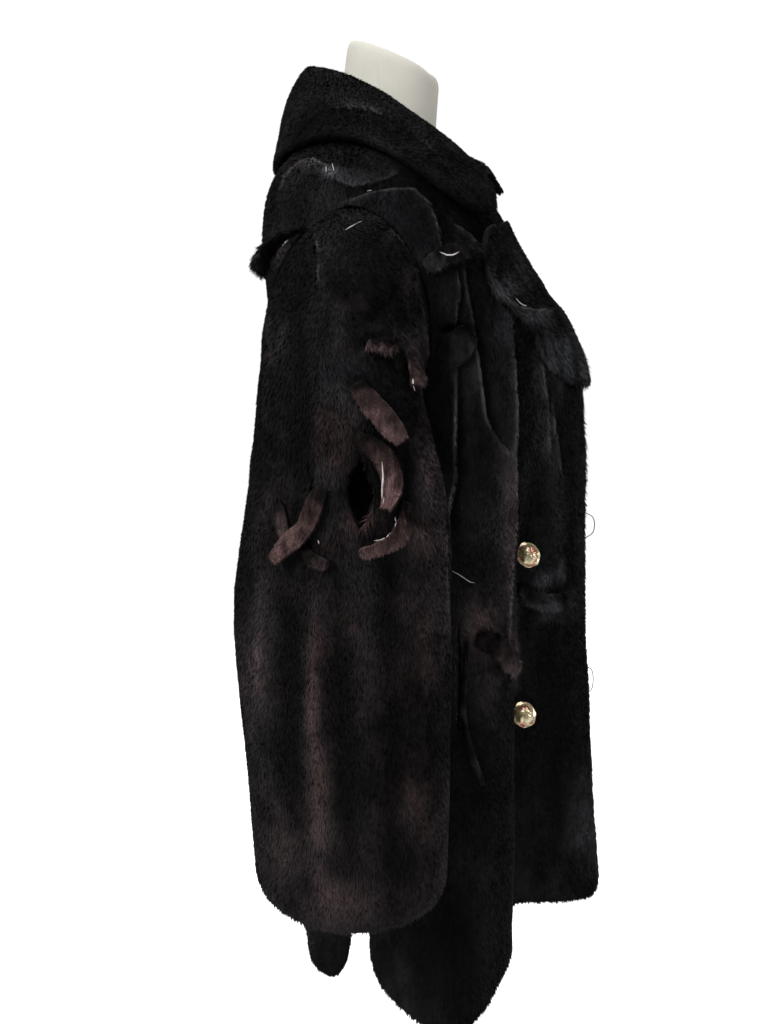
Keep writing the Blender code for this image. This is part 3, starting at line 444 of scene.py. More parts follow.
def build_light():
    """A white wall of light ahead of the picture's camera, a dimmer room, and three soft lamps."""
    world = bpy.data.worlds.new("studio")
    bpy.context.scene.world = world
    world.use_nodes = True
    nodes, links = world.node_tree.nodes, world.node_tree.links
    way = nodes.new("ShaderNodeTexCoord")
    toward = nodes.new("ShaderNodeVectorMath")
    toward.operation = "DOT_PRODUCT"
    toward.inputs[1].default_value = AHEAD
    strength = nodes.new("ShaderNodeMapRange")
    strength.interpolation_type = "SMOOTHSTEP"
    # from is how far ahead the light comes from, to is how strong it is
    for socket, value in (("From Min", 0.25), ("From Max", 0.72), ("To Min", 0.36), ("To Max", 1.04)):
        strength.inputs[socket].default_value = value
    links.new(way.outputs["Generated"], toward.inputs[0])
    links.new(toward.outputs["Value"], strength.inputs["Value"])
    links.new(strength.outputs["Result"], nodes["Background"].inputs["Strength"])
    nodes["Background"].inputs["Color"].default_value = (1.0, 1.0, 1.0, 1.0)
    area_light("overhead", (-0.4, -0.2, 4.2), (0, 0, 0), size=3.2, power=200)
    area_light("key", (-2.3, 0.75, 2.1), (0, 0, 1.0), size=0.9, power=105)
    area_light("front", (0.4, -2.4, 1.6), (0, 0, 0.9), size=0.9, power=26)
    bpy.context.scene.view_settings.view_transform = "Standard"
    bpy.context.scene.view_settings.look = "None"


# ---------------------------------------------------------------- shader maths
class Value:
    """A socket whose arithmetic adds nodes."""

    def __init__(self, tree, socket):
        self.tree, self.socket = tree, socket

    def maths(self, operation, *others, flip=False, clamp=False):
        node = self.tree.nodes.new("ShaderNodeMath")
        node.operation, node.use_clamp = operation, clamp
        for place, term in enumerate((*others, self) if flip else (self, *others)):
            wire(self.tree, node.inputs[place], term)
        return Value(self.tree, node.outputs[0])

    def __add__(self, other):
        return self.maths("ADD", other)

    def __sub__(self, other):
        return self.maths("SUBTRACT", other)

    def __rsub__(self, other):
        return self.maths("SUBTRACT", other, flip=True)

    def __mul__(self, other):
        return self.maths("MULTIPLY", other)

    def __pow__(self, other):
        return self.maths("POWER", other)

    def __rpow__(self, other):
        return self.maths("POWER", other, flip=True)

    __radd__, __rmul__ = __add__, __mul__

    def clamp(self):
        return self.maths("ADD", 0.0, clamp=True)


def wire(tree, socket, value):
    if isinstance(value, Value):
        tree.links.new(value.socket, socket)
    elif isinstance(value, bpy.types.NodeSocket):
        tree.links.new(value, socket)
    else:
        socket.default_value = value


class Finish:
    """A material whose nodes are added through one method."""

    def __init__(self, name, **constants):
        self.material = bpy.data.materials.new(name)
        self.material.use_nodes = True
        self.tree = self.material.node_tree
        self.shader = self.tree.nodes["Principled BSDF"]
        for socket, value in constants.items():
            self.shader.inputs[socket.replace("_", " ")].default_value = value

    def node(self, kind, output=0, settings=None, **sockets):
        node = self.tree.nodes.new(kind)
        for name, value in (settings or {}).items():
            if name == "stops":
                set_stops(node.color_ramp, value)
            else:
                setattr(node, name, value)
        for name, value in sockets.items():
            wire(self.tree, node.inputs[name.replace("_", " ")], value)
        return Value(self.tree, node.outputs[output])

    def mix(self, factor, first, second, how="MIX"):
        node = self.tree.nodes.new("ShaderNodeMix")
        node.data_type, node.blend_type = "RGBA", how
        wire(self.tree, node.inputs[0], factor)
        for place, colour in ((6, first), (7, second)):    # the node's two colour sockets
            wire(self.tree, node.inputs[place], colour if isinstance(colour, Value) else (*colour, 1.0))
        return Value(self.tree, node.outputs[2])

    def place(self):
        return self.node("ShaderNodeTexCoord", "Object")

    def attribute(self, name):
        return self.node("ShaderNodeAttribute", "Fac", {"attribute_name": name})

    def cloud(self, scale, detail=3.0, stretch=None, roughness=0.55):
        vector = self.place()
        if stretch:
            vector = self.node("ShaderNodeMapping", Vector=vector, Scale=stretch)
        return self.node(
            "ShaderNodeTexNoise", "Fac", Vector=vector, Scale=scale, Detail=detail, Roughness=roughness
        )

    def bands(self, way, **sockets):
        settings = {"bands_direction": way}
        return self.node("ShaderNodeTexWave", "Fac", settings, Vector=self.place(), **sockets)

    def ramp(self, factor, stops):
        return self.node("ShaderNodeValToRGB", 0, {"stops": stops}, Fac=factor)

    def bump(self, height, strength, distance):
        return self.node("ShaderNodeBump", Height=height, Strength=strength, Distance=distance)

    def set(self, **values):
        for name, value in values.items():
            wire(self.tree, self.shader.inputs[name.replace("_", " ")], value)
        return self.material


def set_stops(ramp, stops):
    while len(ramp.elements) < len(stops):
        ramp.elements.new(0.5)
    for element, (place, colour) in zip(ramp.elements, stops):
        element.position = place
        element.color = (*colour, 1.0)


# ---------------------------------------------------------------- finishes
DARK = (0.0018, 0.0017, 0.0020)
BROWN = (0.0034, 0.0024, 0.0023)
RUSSET = (0.090, 0.046, 0.043)
GREY = (0.048, 0.052, 0.057)
LEATHER = ((0.016, 0.011, 0.008), (0.036, 0.026, 0.020))
TORN_LEATHER = ((0.10, 0.085, 0.082), (0.34, 0.31, 0.305))
COTTON = ((0.235, 0.23, 0.20), (0.33, 0.32, 0.285))
# painted shadow between the form cloth's threads
PAINTED_WEAVE_SHADOW = (0.17, 0.165, 0.145)
ENAMEL = ((0.19, 0.19, 0.20), (0.30, 0.30, 0.31))
PEARL = (0.42, 0.38, 0.30)
PLAY = [
    (0.32, (0.02, 0.07, 0.02)), (0.40, (0.24, 0.18, 0.05)), (0.50, (0.34, 0.29, 0.18)),
    (0.58, (0.26, 0.16, 0.06)), (0.66, (0.24, 0.02, 0.012)),
]
COTTON_THREAD = ((0.05, 0.046, 0.045), (0.13, 0.12, 0.12))
PALE = ((0.86, 0.86, 0.86), (0.90, 0.90, 0.90))
PALE_GLOW = ((0.98, 0.98, 0.98), (1.0, 1.0, 1.0))


def fur_finish(name, depth, blades):
    """Pile that turns from near black to worn brown with the painted wear, painted highlights and painted
    shade.
    """
    look = Finish(name, Specular_IOR_Level=0.03, Sheen_Weight=0.011, Sheen_Roughness=0.35,
                  Sheen_Tint=(0.74, 0.70, 0.72, 1.0))
    tone, warm, shade = look.attribute("tone"), look.attribute("warm"), look.attribute("shade")
    patch = look.cloud(13.0, detail=4.0, stretch=(1.0, 1.0, 0.55), roughness=0.62) - 0.5
    blotch = look.cloud(46.0, stretch=(1.0, 1.0, 0.7)) - 0.5
    fine = look.cloud(210.0, detail=2.0)
    level = tone * (patch * PATCH_GAIN + 1.0) + tone * blotch * BLOTCH_GAIN
    level = level + patch * PATCH_LEVEL + blotch * PATCH_LEVEL + (fine - 0.5) * GRAIN_LEVEL
    level = level + (shade - 0.5) * BLADE_LEVEL + (tone - WORN_AND_LIT_TONE).clamp() * WORN_AND_LIT_GAIN
    level = (level.clamp() + LEVEL_LIFT) ** LEVEL_POWER
    cool = look.mix(level, DARK, GREY)
    brown = look.mix(level, BROWN, RUSSET)
    colour = look.mix((warm + patch * WARM_BREAK).clamp(), cool, brown)
    # depth under 1 darkens a skin under the blades as painted shade deep in the pile; over 1, the worn
    # strips' fur is lighter
    colour = look.mix(1.0, colour, (depth, depth, depth), "MULTIPLY")
    if blades:
        look.set(Normal=look.node("ShaderNodeAttribute", "Vector", {"attribute_name": "lay"}))
    return look.set(Base_Color=colour, Roughness=(0.62 + fine * 0.25))


def hide_finish():
    """The skin's inner side: matt leather, in darker and lighter blotches."""
    look = Finish("hide", Specular_IOR_Level=0.3)
    grain = look.cloud(420.0, detail=4.0)
    return look.set(
        Base_Color=look.mix(look.cloud(14.0, detail=4.0), *LEATHER), Roughness=(0.72 + grain * 0.2),
        Normal=look.bump(grain, strength=0.35, distance=0.0006),
    )


def torn_hide_finish():
    """Bare, pale leather where a skin has torn."""
    look = Finish("torn hide", Specular_IOR_Level=0.3)
    fibre = look.cloud(520.0, detail=4.0)
    return look.set(
        Base_Color=look.mix(look.cloud(60.0, detail=4.0), *TORN_LEATHER), Roughness=(0.66 + fibre * 0.25),
        Normal=look.bump(fibre, strength=0.6, distance=0.0008),
    )


def form_cloth_finish():
    """Off-white cotton stretched over the form, with its weave and painted shade between its threads."""
    look = Finish("form cloth", Specular_IOR_Level=0.25)
    warp, weft = [look.bands(way, Scale=330.0, Distortion=1.5, Detail=1.0) for way in "XZ"]
    weave = warp * 0.5 + weft * 0.5
    soil = look.cloud(16.0, detail=4.0)
    return look.set(
        # the weave's bands mix in painted shadow between the threads
        Base_Color=look.mix(weave * 0.16, look.mix(soil, *COTTON), PAINTED_WEAVE_SHADOW),
        Roughness=(0.78 + soil * 0.15), Normal=look.bump(weave, strength=0.25, distance=0.0004),
    )


def stand_finish():
    """Grey enamel on steel, scuffed."""
    look = Finish("stand enamel", Metallic=0.0, Specular_IOR_Level=0.5)
    scuff = look.cloud(40.0, detail=5.0)
    speck = look.cloud(600.0, detail=2.0)
    return look.set(
        Base_Color=look.mix(scuff, *ENAMEL), Roughness=(0.30 + scuff * 0.25),
        Normal=look.bump(speck, strength=0.12, distance=0.0003),
    )


def button_finish():
    """Gilt shell with a play of pearl, red and green."""
    look = Finish("gilt pearl", Specular_IOR_Level=0.6)
    play = look.cloud(110.0, detail=2.0, stretch=(1.0, 1.0, 1.0), roughness=0.4)
    vein = look.cloud(260.0)
    return look.set(
        Base_Color=look.mix(vein * 0.30, look.ramp(play, PLAY), PEARL), Roughness=(0.16 + vein * 0.18),
        Metallic=(0.35 + play * 0.4), Coat_Weight=0.6,
        Normal=look.bump(vein, strength=0.25, distance=0.0008),
    )


def thread_finish():
    """Dark cotton thread with its twist."""
    look = Finish("thread", Specular_IOR_Level=0.3)
    twist = look.bands("DIAGONAL", Scale=900.0)
    return look.set(
        Base_Color=look.mix(twist, *COTTON_THREAD), Roughness=(0.6 + twist * 0.2),
        Normal=look.bump(twist, strength=0.5, distance=0.0003),
    )


# ---------------------------------------------------------------- painted places
def picture_places(points):
    """Pixels of the picture for an array of points."""
    q = points - np.array(EYE)
    d, r, h = q @ np.array(AHEAD), q @ np.array(RIGHT), q[:, 2]
    depth = math.cos(PITCH) * d - math.sin(PITCH) * h
    x = AXIS_PX + FOCUS * r / depth
    y = PICTURE[1] / 2 - FOCUS * (math.sin(PITCH) * d + math.cos(PITCH) * h) / depth
    return np.stack([x, y], 1)


def distance_to(places, path):
    """For each place: how far it is from a path of straight stretches, on its right if
    positive, and the share of the path that it lies beside."""
    path = np.array(path, float)
    nearest = np.full(len(places), 1e9)
    share = np.zeros(len(places))
    side = np.ones(len(places))
    for k in range(len(path) - 1):
        a, line = path[k], path[k + 1] - path[k]
        t = np.clip(((places - a) @ line) / (line @ line), 0, 1)
        off = places - (a + t[:, None] * line)
        gap = np.linalg.norm(off, axis=1)
        closer = gap < nearest
        nearest[closer] = gap[closer]
        share[closer] = (k + t[closer]) / (len(path) - 1)
        side[closer] = np.where(line[0] * off[closer, 1] - line[1] * off[closer, 0] > 0, 1.0, -1.0)
    return nearest * side, share


def press(places, creases, panel, turn=EDGE_TURN):
    """How far the creases press each place in, in metres, and how much painted highlight and shade they put
    on its pile.
    """
    depth, light = np.zeros(len(places)), np.zeros(len(places))
    for crease in creases:
        if panel not in crease.panels:
            continue
        gap, share = distance_to(places, crease.path)
        fade = np.sin(np.pi * np.clip(share * FADE_SPAN + FADE_START, 0, 1)) ** FADE_POWER
        soft = np.exp(-((gap / crease.width) ** 2))
        step = np.tanh(gap / turn) * np.exp(-np.abs(gap) / crease.width)
        depth += MM * fade * (crease.depth * soft + crease.lip * step)
        if crease.lip:
            high = gap * math.copysign(1.0, crease.lip)
            glint = GLINT_MEAN + GLINT_SWING * np.sin(share * GLINT_WAVES + crease.path[0][0])
            catch = glint * min(1.0, abs(crease.lip) / FULL_LIP)
            light += fade * catch * EDGE_LIGHT * np.exp(-(((high + turn) / (turn * EDGE_SPREAD)) ** 2))
            light += fade * EDGE_CROWN * np.where(high < 0, np.exp(high / crease.width), 0.0)
            light -= fade * EDGE_DARK * np.where(high > 0, np.exp(-high / crease.width), 0.0)
        light -= fade * soft * crease.depth * TROUGH_DARK
    return depth, light


def towards_eye(points, normals):
    """The cosine between each normal and the line to the eye."""
    view = np.array(EYE) - points
    view /= np.linalg.norm(view, axis=1)[:, None]
    return (normals * view).sum(1)


def seen_side(points, normals, panel):
    """Points moved to the side in the picture where they are hidden, and how much each faces it."""
    flip = np.full(len(points), -1.0 if panel.startswith("left") else 1.0)
    fade = np.ones(len(points))
    if panel in ("back", "collar"):
        straight = towards_eye(points, normals)
        hidden = (points[:, 0] > 0) & (straight < -FACING_START)
        flip[hidden] = -1.0
        fade[hidden] = np.clip(-(straight[hidden] + FACING_START) / FACING_REACH, 0, 1)
    mirror = np.stack([flip, np.ones(len(flip)), np.ones(len(flip))], 1)
    points, normals = points * mirror, normals * mirror
    facing = np.clip((towards_eye(points, normals) + FACING_START) / FACING_REACH, 0, 1)
    return points, facing * fade


def lumps(points, size, seed):
    """Soft noise between -1 and 1."""
    shift = Vector([seed * step for step in NOISE_STEPS])
    return np.array([noise.noise(Vector(p) / size + shift) for p in points])


# ---------------------------------------------------------------- shells
OUTER, INNER, CUT = 0, 1, 2    # the material slots of a shell's outer, inner and cut faces


def sort_sheets(mesh):
    """Each face's slot: the largest sheet between sharp edges is the outer one, then the inner."""
    left, groups = set(mesh.faces), []
    while left:
        first = left.pop()
        group, front = [first], [first]
        while front:
            face = front.pop()
            for edge in face.edges:
                if not edge.smooth:
                    continue
                for other in edge.link_faces:
                    if other in left:
                        left.remove(other)
                        group.append(other)
                        front.append(other)
        groups.append(group)
    groups.sort(key=lambda g: -sum(f.calc_area() for f in g))
    for number, group in enumerate(groups):
        for face in group:
            face.material_index = min(number, CUT)


def finished_mesh(name, work):
    """What was built in a bmesh, as a mesh."""
    mesh = bpy.data.meshes.new(name)
    work.to_mesh(mesh)
    work.free()
    return mesh


def smooth_copy(name, node, levels):
    """A node's mesh with its doubles merged, its faces paired and its form subdivided."""
    work = bmesh.new()
    work.from_mesh(NODES[node].data)
    bmesh.ops.remove_doubles(work, verts=work.verts, dist=WELD)
    bmesh.ops.dissolve_degenerate(work, edges=work.edges, dist=WELD)
    for edge in work.edges:
        edge.smooth = len(edge.link_faces) == 2 and edge.calc_face_angle(0.0) < SHARP
    sort_sheets(work)
    bmesh.ops.join_triangles(
        work, faces=work.faces, cmp_sharp=True, cmp_materials=True,
        angle_face_threshold=math.radians(40), angle_shape_threshold=math.radians(60),
    )
    crease = work.edges.layers.float.new("crease_edge")
    for edge in work.edges:
        edge[crease] = 0.0 if edge.smooth else 1.0
    mesh = finished_mesh(name, work)
    for _ in (OUTER, INNER, CUT):
        mesh.materials.append(None)
    made = put(name, mesh)
    if levels:
        finer = made.modifiers.new("finer", "SUBSURF")
        finer.levels = finer.render_levels = levels
        settle(made)
    return made


def settle(thing):
    """The object's evaluated mesh takes its mesh's place, and its modifiers go."""
    graph = bpy.context.evaluated_depsgraph_get()
    mesh = bpy.data.meshes.new_from_object(thing.evaluated_get(graph))
    thing.modifiers.clear()
    old, thing.data = thing.data, mesh
    bpy.data.meshes.remove(old)
    mesh.name = thing.name


def vertex_array(mesh):
    points = np.empty(len(mesh.vertices) * 3)
    mesh.vertices.foreach_get("co", points)
    return points.reshape(-1, 3)


def outer_normals(mesh):
    """Mean normals of each vertex's outer faces, and which vertices have such faces."""
    normals = np.zeros((len(mesh.vertices), 3))
    for face in mesh.polygons:
        if face.material_index == OUTER:
            for vertex in face.vertices:
                normals[vertex] += np.array(face.normal) * face.area
    length = np.linalg.norm(normals, axis=1)
    has = length > 0
    normals[has] /= length[has][:, None]
    return normals, has


def follow_outer(points, normals, has):
    """For each vertex, the outer vertex that it lies behind."""
    places = np.nonzero(has)[0]
    tree = kdtree.KDTree(len(places))
    for place in places:
        tree.insert(points[place], int(place))
    tree.balance()
    return np.array([k if has[k] else tree.find(points[k])[1] for k in range(len(points))])


def refine(made, node, panel):
    """Divide the outer faces: all of them once, those beside creases that the picture shows
    twice, and those beside folds' edges three times."""
    for finer in range(3):
        work = bmesh.new()
        work.from_mesh(made.data)
        faces = [face for face in work.faces if face.material_index == OUTER]
        chosen = np.ones(len(faces), bool)
        if finer:
            centres = np.array([face.calc_center_median() for face in faces])
            normals = np.array([face.normal for face in faces])
            seen, facing = seen_side(centres, normals, node)
            places = picture_places(seen)
            chosen[:] = False
            for crease in CREASES:
                if panel in crease.panels and (crease.lip or finer == 1):
                    reach = FINE_REACH if finer == 2 else crease.width * CREASE_REACH
                    chosen |= np.abs(distance_to(places, crease.path)[0]) < reach
            chosen &= (facing > SHOWN) & ((centres[:, 0] < FAR_HALF) | (node == "collar"))
        edges = {edge for face, take in zip(faces, chosen) if take for edge in face.edges}
        bmesh.ops.subdivide_edges(work, edges=list(edges), cuts=1, use_grid_fill=True)
        work.to_mesh(made.data)
        work.free()


def panel_shell(node, panel, levels=1, sink=SINK):
    """A panel's skin: its solid's form, creased, with its fur side sunk under the pile."""
    made = smooth_copy(node + "_skin", node, levels)
    mesh = made.data
    if node in FUR_PANELS:
        refine(made, node, panel)
    points = vertex_array(mesh)
    normals, has = outer_normals(mesh)
    leader = follow_outer(points, normals, has)
    outside = points[leader]
    way = normals[leader]
    seen, facing = seen_side(outside, way, node)
    places = picture_places(seen)
    mirrored = seen[:, 0] * outside[:, 0] < 0
    depth, light = press(places, CREASES, panel)
    soft_depth, soft_light = press(places, CREASES, panel, MIRRORED_TURN)
    depth = np.where(mirrored, soft_depth, depth) * facing
    light = np.where(mirrored, soft_light, light) * facing
    if panel == "back":
        behind = np.clip((way[:, 1] - BACK_START) / BACK_REACH, 0, 1)
        more_depth, more_light = press(outside[:, [0, 2]] / MM, BACK_CREASES, panel)
        depth += more_depth * behind
        light += more_light * behind
    depth += lumps(outside, WAVE_SIZE, 1) * WAVE_DEPTH + lumps(outside, RIPPLE_SIZE, 2) * RIPPLE_DEPTH
    moved = points - way * depth[:, None]
    moved[has] -= way[has] * sink
    mesh.vertices.foreach_set("co", moved.ravel())
    mesh.update()
    paint(mesh, outside, way, places, facing, light, panel)
    return made


def paint(mesh, outside, way, places, facing, light, panel):
    """Wear with the creases' painted highlights and shade, nap and growth of the fur, for each vertex."""
    count = len(outside)
    tone, warm, stray = np.full(count, PLAIN_TONE), np.zeros(count), np.full(count, PLAIN_STRAY)
    for patch in PATCHES:
        if panel not in patch.panels:
            continue
        across = (places[:, 0] - patch.x) / patch.wide
        along = (places[:, 1] - patch.y) / patch.high
        share = np.exp(-(across ** 2 + along ** 2)) * facing
        tone += share * patch.tone
        warm += share * patch.warm
        stray += share * patch.stray
    broad = lumps(outside * np.array(CLOUD_STRETCH), CLOUD_SIZE, 3)
    # the creases' painted highlights and shade lighten and darken the tone, and their highlights warm it
    tone += broad * CLOUD_TONE * (1.0 - facing * CLOUD_SHOWN) + light
    warm += np.clip(light, 0, 1) * EDGE_WARM
    warm += (1.0 - facing) * (HIDDEN_WARM + HIDDEN_SWING * broad)
    if panel in SLEEVE:
        low = np.clip((LOW_SLEEVE - outside[:, 2]) / LOW_FADE, 0, 1)
        tone += LOW_TONE * low
        warm += LOW_WARM * low
    down = np.zeros((count, 3))
    down[:, 2] = -1.0
    down[:, 0] += lumps(outside, NAP_SIZE, 4) * NAP_SWAY
    down[:, 1] += lumps(outside, NAP_SIZE, 5) * NAP_SWAY
    down -= way * (down * way).sum(1)[:, None]
    down /= np.maximum(np.linalg.norm(down, axis=1), 1e-6)[:, None]
    length = np.ones(count)
    for face in mesh.polygons:
        if face.material_index == CUT:
            rim = list(face.vertices)
            length[rim] = RIM_LENGTH + RIM_STRAY * stray[rim]
    values = {
        "tone": np.clip(tone, -1, 1), "warm": np.clip(warm, 0, 1), "stray": np.clip(stray, 0, 1),
        "long": length, "shade": np.full(count, 0.5),
    }
    for name, value in values.items():
        store(mesh, name, value)
    store(mesh, "nap", down.ravel(), "FLOAT_VECTOR")
    growth = (1.0, RIM_GROWTH if panel in TURNED else 0.0, RIM_GROWTH)
    store(mesh, "grow", np.array([growth[face.material_index] for face in mesh.polygons]), place="FACE")


def store(mesh, name, values, kind="FLOAT", place="POINT"):
    """Values of an attribute, which is added if the mesh hasn't got it."""
    layer = mesh.attributes.get(name) or mesh.attributes.new(name, kind, place)
    key = "vector" if kind == "FLOAT_VECTOR" else "value"
    layer.data.foreach_set(key, values.astype(np.float32))


# ---------------------------------------------------------------- fur
FULL_TURN = 6.283
LENGTHS = (0.7, 1.15)          # how far blades differ in length,
WIDTHS = (0.7, 1.3)            # and in width
STRAY_SPREAD = 0.9             # how much wider unkempt blades spread,
STRAY_LENGTH = 0.75            # and how much longer they are
LAY_NORMAL = 10.0              # how far a blade is lit like the skin that it stands on
LAY_RANDOM = 0.5
FUR_INPUTS = [
    ("Geometry", "NodeSocketGeometry", None),
    ("Blades", "NodeSocketFloat", BLADES),
    ("Length", "NodeSocketFloat", PILE),
    ("Width", "NodeSocketFloat", 0.0013),
    ("Lean", "NodeSocketFloat", 2.0),
    ("Spread", "NodeSocketFloat", 0.20),
    ("Seed", "NodeSocketInt", SEED),
    ("Fur", "NodeSocketMaterial", None),
]


class Growth:
    """A Geometry Nodes tree and its one way to add a node."""

    def __init__(self, name):
        self.tree = bpy.data.node_groups.new(name, "GeometryNodeTree")
        for label, kind, default in FUR_INPUTS:
            socket = self.tree.interface.new_socket(label, in_out="INPUT", socket_type=kind)
            if default is not None:
                socket.default_value = default
        self.tree.interface.new_socket("Geometry", in_out="OUTPUT", socket_type="NodeSocketGeometry")
        self.inputs = self.tree.nodes.new("NodeGroupInput").outputs

    def add(self, kind, values, output=0, **settings):
        node = self.tree.nodes.new(kind)
        for name, value in settings.items():
            setattr(node, name, value)
        for key, value in values.items():
            socket = node.inputs[key]
            if isinstance(value, bpy.types.NodeSocket):
                self.tree.links.new(value, socket)
            else:
                socket.default_value = value
        return node.outputs[output]

    def maths(self, operation, *terms):
        return self.add("ShaderNodeMath", dict(enumerate(terms)), operation=operation)

    def vector(self, operation, *terms):
        return self.add("ShaderNodeVectorMath", dict(enumerate(terms)), operation=operation)

    def scaled(self, vector, factor):
        return self.add("ShaderNodeVectorMath", {0: vector, "Scale": factor}, operation="SCALE")

    def named(self, name, kind="FLOAT"):
        return self.add("GeometryNodeInputNamedAttribute", {"Name": name}, data_type=kind)

    def chance(self, low, high, seed):
        return self.add("FunctionNodeRandomValue", {2: low, 3: high, "Seed": seed}, 1, data_type="FLOAT")


def fur_tree():
    """Blades on a skin: they lean along the nap and spread at random, wider and longer where the pile is
    unkempt.
    """
    g = Growth("fur growth")
    seed = g.inputs["Seed"]
    density = g.maths("MULTIPLY", g.inputs["Blades"], g.named("grow"))
    scatter = g.tree.nodes.new("GeometryNodeDistributePointsOnFaces")
    scatter.distribute_method = "RANDOM"
    g.tree.links.new(g.inputs["Geometry"], scatter.inputs["Mesh"])
    g.tree.links.new(density, scatter.inputs["Density"])
    g.tree.links.new(seed, scatter.inputs["Seed"])
    points, normal = scatter.outputs["Points"], scatter.outputs["Normal"]
    stray = g.named("stray")
    random_way = g.add(
        "FunctionNodeRandomValue", {0: (-1.0, -1.0, -1.0), 1: (1.0, 1.0, 1.0), "Seed": seed},
        data_type="FLOAT_VECTOR",
    )
    spread = g.maths("ADD", g.inputs["Spread"], g.maths("MULTIPLY", stray, STRAY_SPREAD))
    way = g.vector("ADD", normal, g.scaled(g.named("nap", "FLOAT_VECTOR"), g.inputs["Lean"]))
    way = g.vector("ADD", way, g.scaled(random_way, spread))
    turn = g.add("FunctionNodeAlignRotationToVector", {"Vector": way}, axis="Z")
    spin = g.add(
        "FunctionNodeAxisAngleToRotation", {"Axis": (0.0, 0.0, 1.0), "Angle": g.chance(0.0, FULL_TURN, 3)}
    )
    turn = g.add(
        "FunctionNodeRotateRotation", {"Rotation": turn, "Rotate By": spin}, rotation_space="LOCAL"
    )
    # a blade is one triangle, 1 long from its root up, with its two corners at the root
    blade = g.add("GeometryNodeMeshCircle", {"Vertices": 3, "Radius": 2.0 / 3.0}, fill_type="NGON")
    blade = g.add(
        "GeometryNodeTransform",
        {"Geometry": blade, "Translation": (0.0, 0.0, 1.0 / 3.0), "Rotation": (0.0, -math.pi / 2, 0.0)},
    )
    length = g.maths("MULTIPLY", g.inputs["Length"], g.chance(*LENGTHS, 5))
    length = g.maths("MULTIPLY", length, g.maths("ADD", 1.0, g.maths("MULTIPLY", stray, STRAY_LENGTH)))
    length = g.maths("MULTIPLY", length, g.named("long"))
    width = g.maths("MULTIPLY", g.inputs["Width"], g.chance(*WIDTHS, 6))
    size = g.add("ShaderNodeCombineXYZ", {0: width, 1: width, 2: length})
    placed = g.add(
        "GeometryNodeInstanceOnPoints",
        {"Points": points, "Instance": blade, "Rotation": turn, "Scale": size},
    )
    lay = g.vector("ADD", g.scaled(normal, LAY_NORMAL), way)
    lay = g.vector("NORMALIZE", g.vector("ADD", lay, g.scaled(random_way, LAY_RANDOM)))
    for name, kind, value in (("shade", "FLOAT", g.chance(0.0, 1.0, 8)), ("lay", "FLOAT_VECTOR", lay)):
        placed = g.add(
            "GeometryNodeStoreNamedAttribute", {"Geometry": placed, "Name": name, "Value": value},
            data_type=kind, domain="INSTANCE",
        )
    whole = g.add("GeometryNodeRealizeInstances", {"Geometry": placed})
    whole = g.add("GeometryNodeSetMaterial", {"Geometry": whole, "Material": g.inputs["Fur"]})
    output = g.tree.nodes.new("NodeGroupOutput")
    g.tree.links.new(whole, output.inputs[0])
    return g.tree


def grow_fur(skin, tree, name, values):
    """The fur on a skin as a plain mesh of its own."""
    made = put(name, skin.data.copy())
    growth = made.modifiers.new("growth", "NODES")
    growth.node_group = tree
    keys = {item.name: item.identifier for item in tree.interface.items_tree if item.in_out == "INPUT"}
    for label, value in values.items():
        growth[keys[label]] = value
    settle(made)
    for attribute in ("nap", "grow", "stray", "long"):
        layer = made.data.attributes.get(attribute)
        if layer:
            made.data.attributes.remove(layer)
    return made


def dress_panel(node, tree, finishes):
    """A panel's skin and the fur on it."""
    skin = panel_shell(node, node)
    under = "skin" if node in TURNED else "hide"
    finish_slots(skin, finishes["skin"], finishes[under], finishes["skin"])
    blades = CLOSE_BLADES if node in CLOSE else BLADES
    fur = grow_fur(
        skin, tree, node + "_fur", {"Fur": finishes["fur"], "Blades": blades, "Seed": SEED + len(node)}
    )
    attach(skin, "root")
    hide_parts(node)
    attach(fur, "root")
    return skin


def finish_slots(thing, *materials):
    """Materials for the outer, inner and cut faces, which are all shaded smooth."""
    for place, material in enumerate(materials):
        thing.data.materials[place] = material
    for face in thing.data.polygons:
        face.use_smooth = True
    if "sharp_edge" in thing.data.attributes:
        thing.data.attributes.remove(thing.data.attributes["sharp_edge"])


def dress_strip(node, tree, finishes):
    """A torn strip's ragged skin and the fur on it, lighter the further down it hangs from its root."""
    panel = "sleeve" if node.startswith(("sleeve", "shoulder_flap_back")) else "front"
    skin = panel_shell(node, panel, levels=2, sink=POUCH_SINK if node == "front_pouch" else STRIP_SINK)
    finish_slots(skin, finishes["worn skin"], finishes["worn skin"], finishes["worn skin"])
    wear, points = STRIP_WEAR[node], vertex_array(skin.data)
    mottle = lumps(points, MOTTLE_SIZE, 6)
    ragged = np.stack([lumps(points, RAGGED_SIZE, seed) for seed in (7, 8, 9)], 1)
    reach = RAGGED * (RAGGED_LEAST + RAGGED_STRAY * wear.stray ** 2)
    skin.data.vertices.foreach_set("co", (points + ragged * reach).ravel())
    root = points[:, 2].max()
    length = root - points[:, 2].min()
    down = np.clip((root - points[:, 2]) / length, 0, 1)
    streaks = lumps(points * np.array(STREAK_STRETCH), STREAK_SIZE, 10)
    tone = wear.tone * (DOWN_TONE * down + ROOT_TONE) + mottle * STRIP_MOTTLE + streaks * STRIP_MOTTLE
    everywhere = np.ones(len(points))
    store(skin.data, "tone", tone)
    store(skin.data, "warm", everywhere * wear.warm)
    store(skin.data, "stray", everywhere * wear.stray)
    store(skin.data, "long", everywhere * STRIP_LENGTH)
    store(skin.data, "grow", np.ones(len(skin.data.polygons)))
    skin.data.update()
    fur = grow_fur(
        skin, tree, node + "_fur",
        {"Fur": finishes["worn fur"], "Length": STRIP_PILE + STRIP_STRAY * wear.stray,
         "Width": STRIP_WIDTH, "Blades": STRIP_BLADES, "Seed": SEED + len(node)},
    )
    for piece in (skin, fur):
        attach(piece, "root")
    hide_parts(node)
    return skin


def sight(x, y):
    """The direction in which a pixel of the picture is seen."""
    way = LOOK + RIGHT * ((x - AXIS_PX) / FOCUS) + UP * ((PICTURE[1] / 2 - y) / FOCUS)
    return way.normalized()


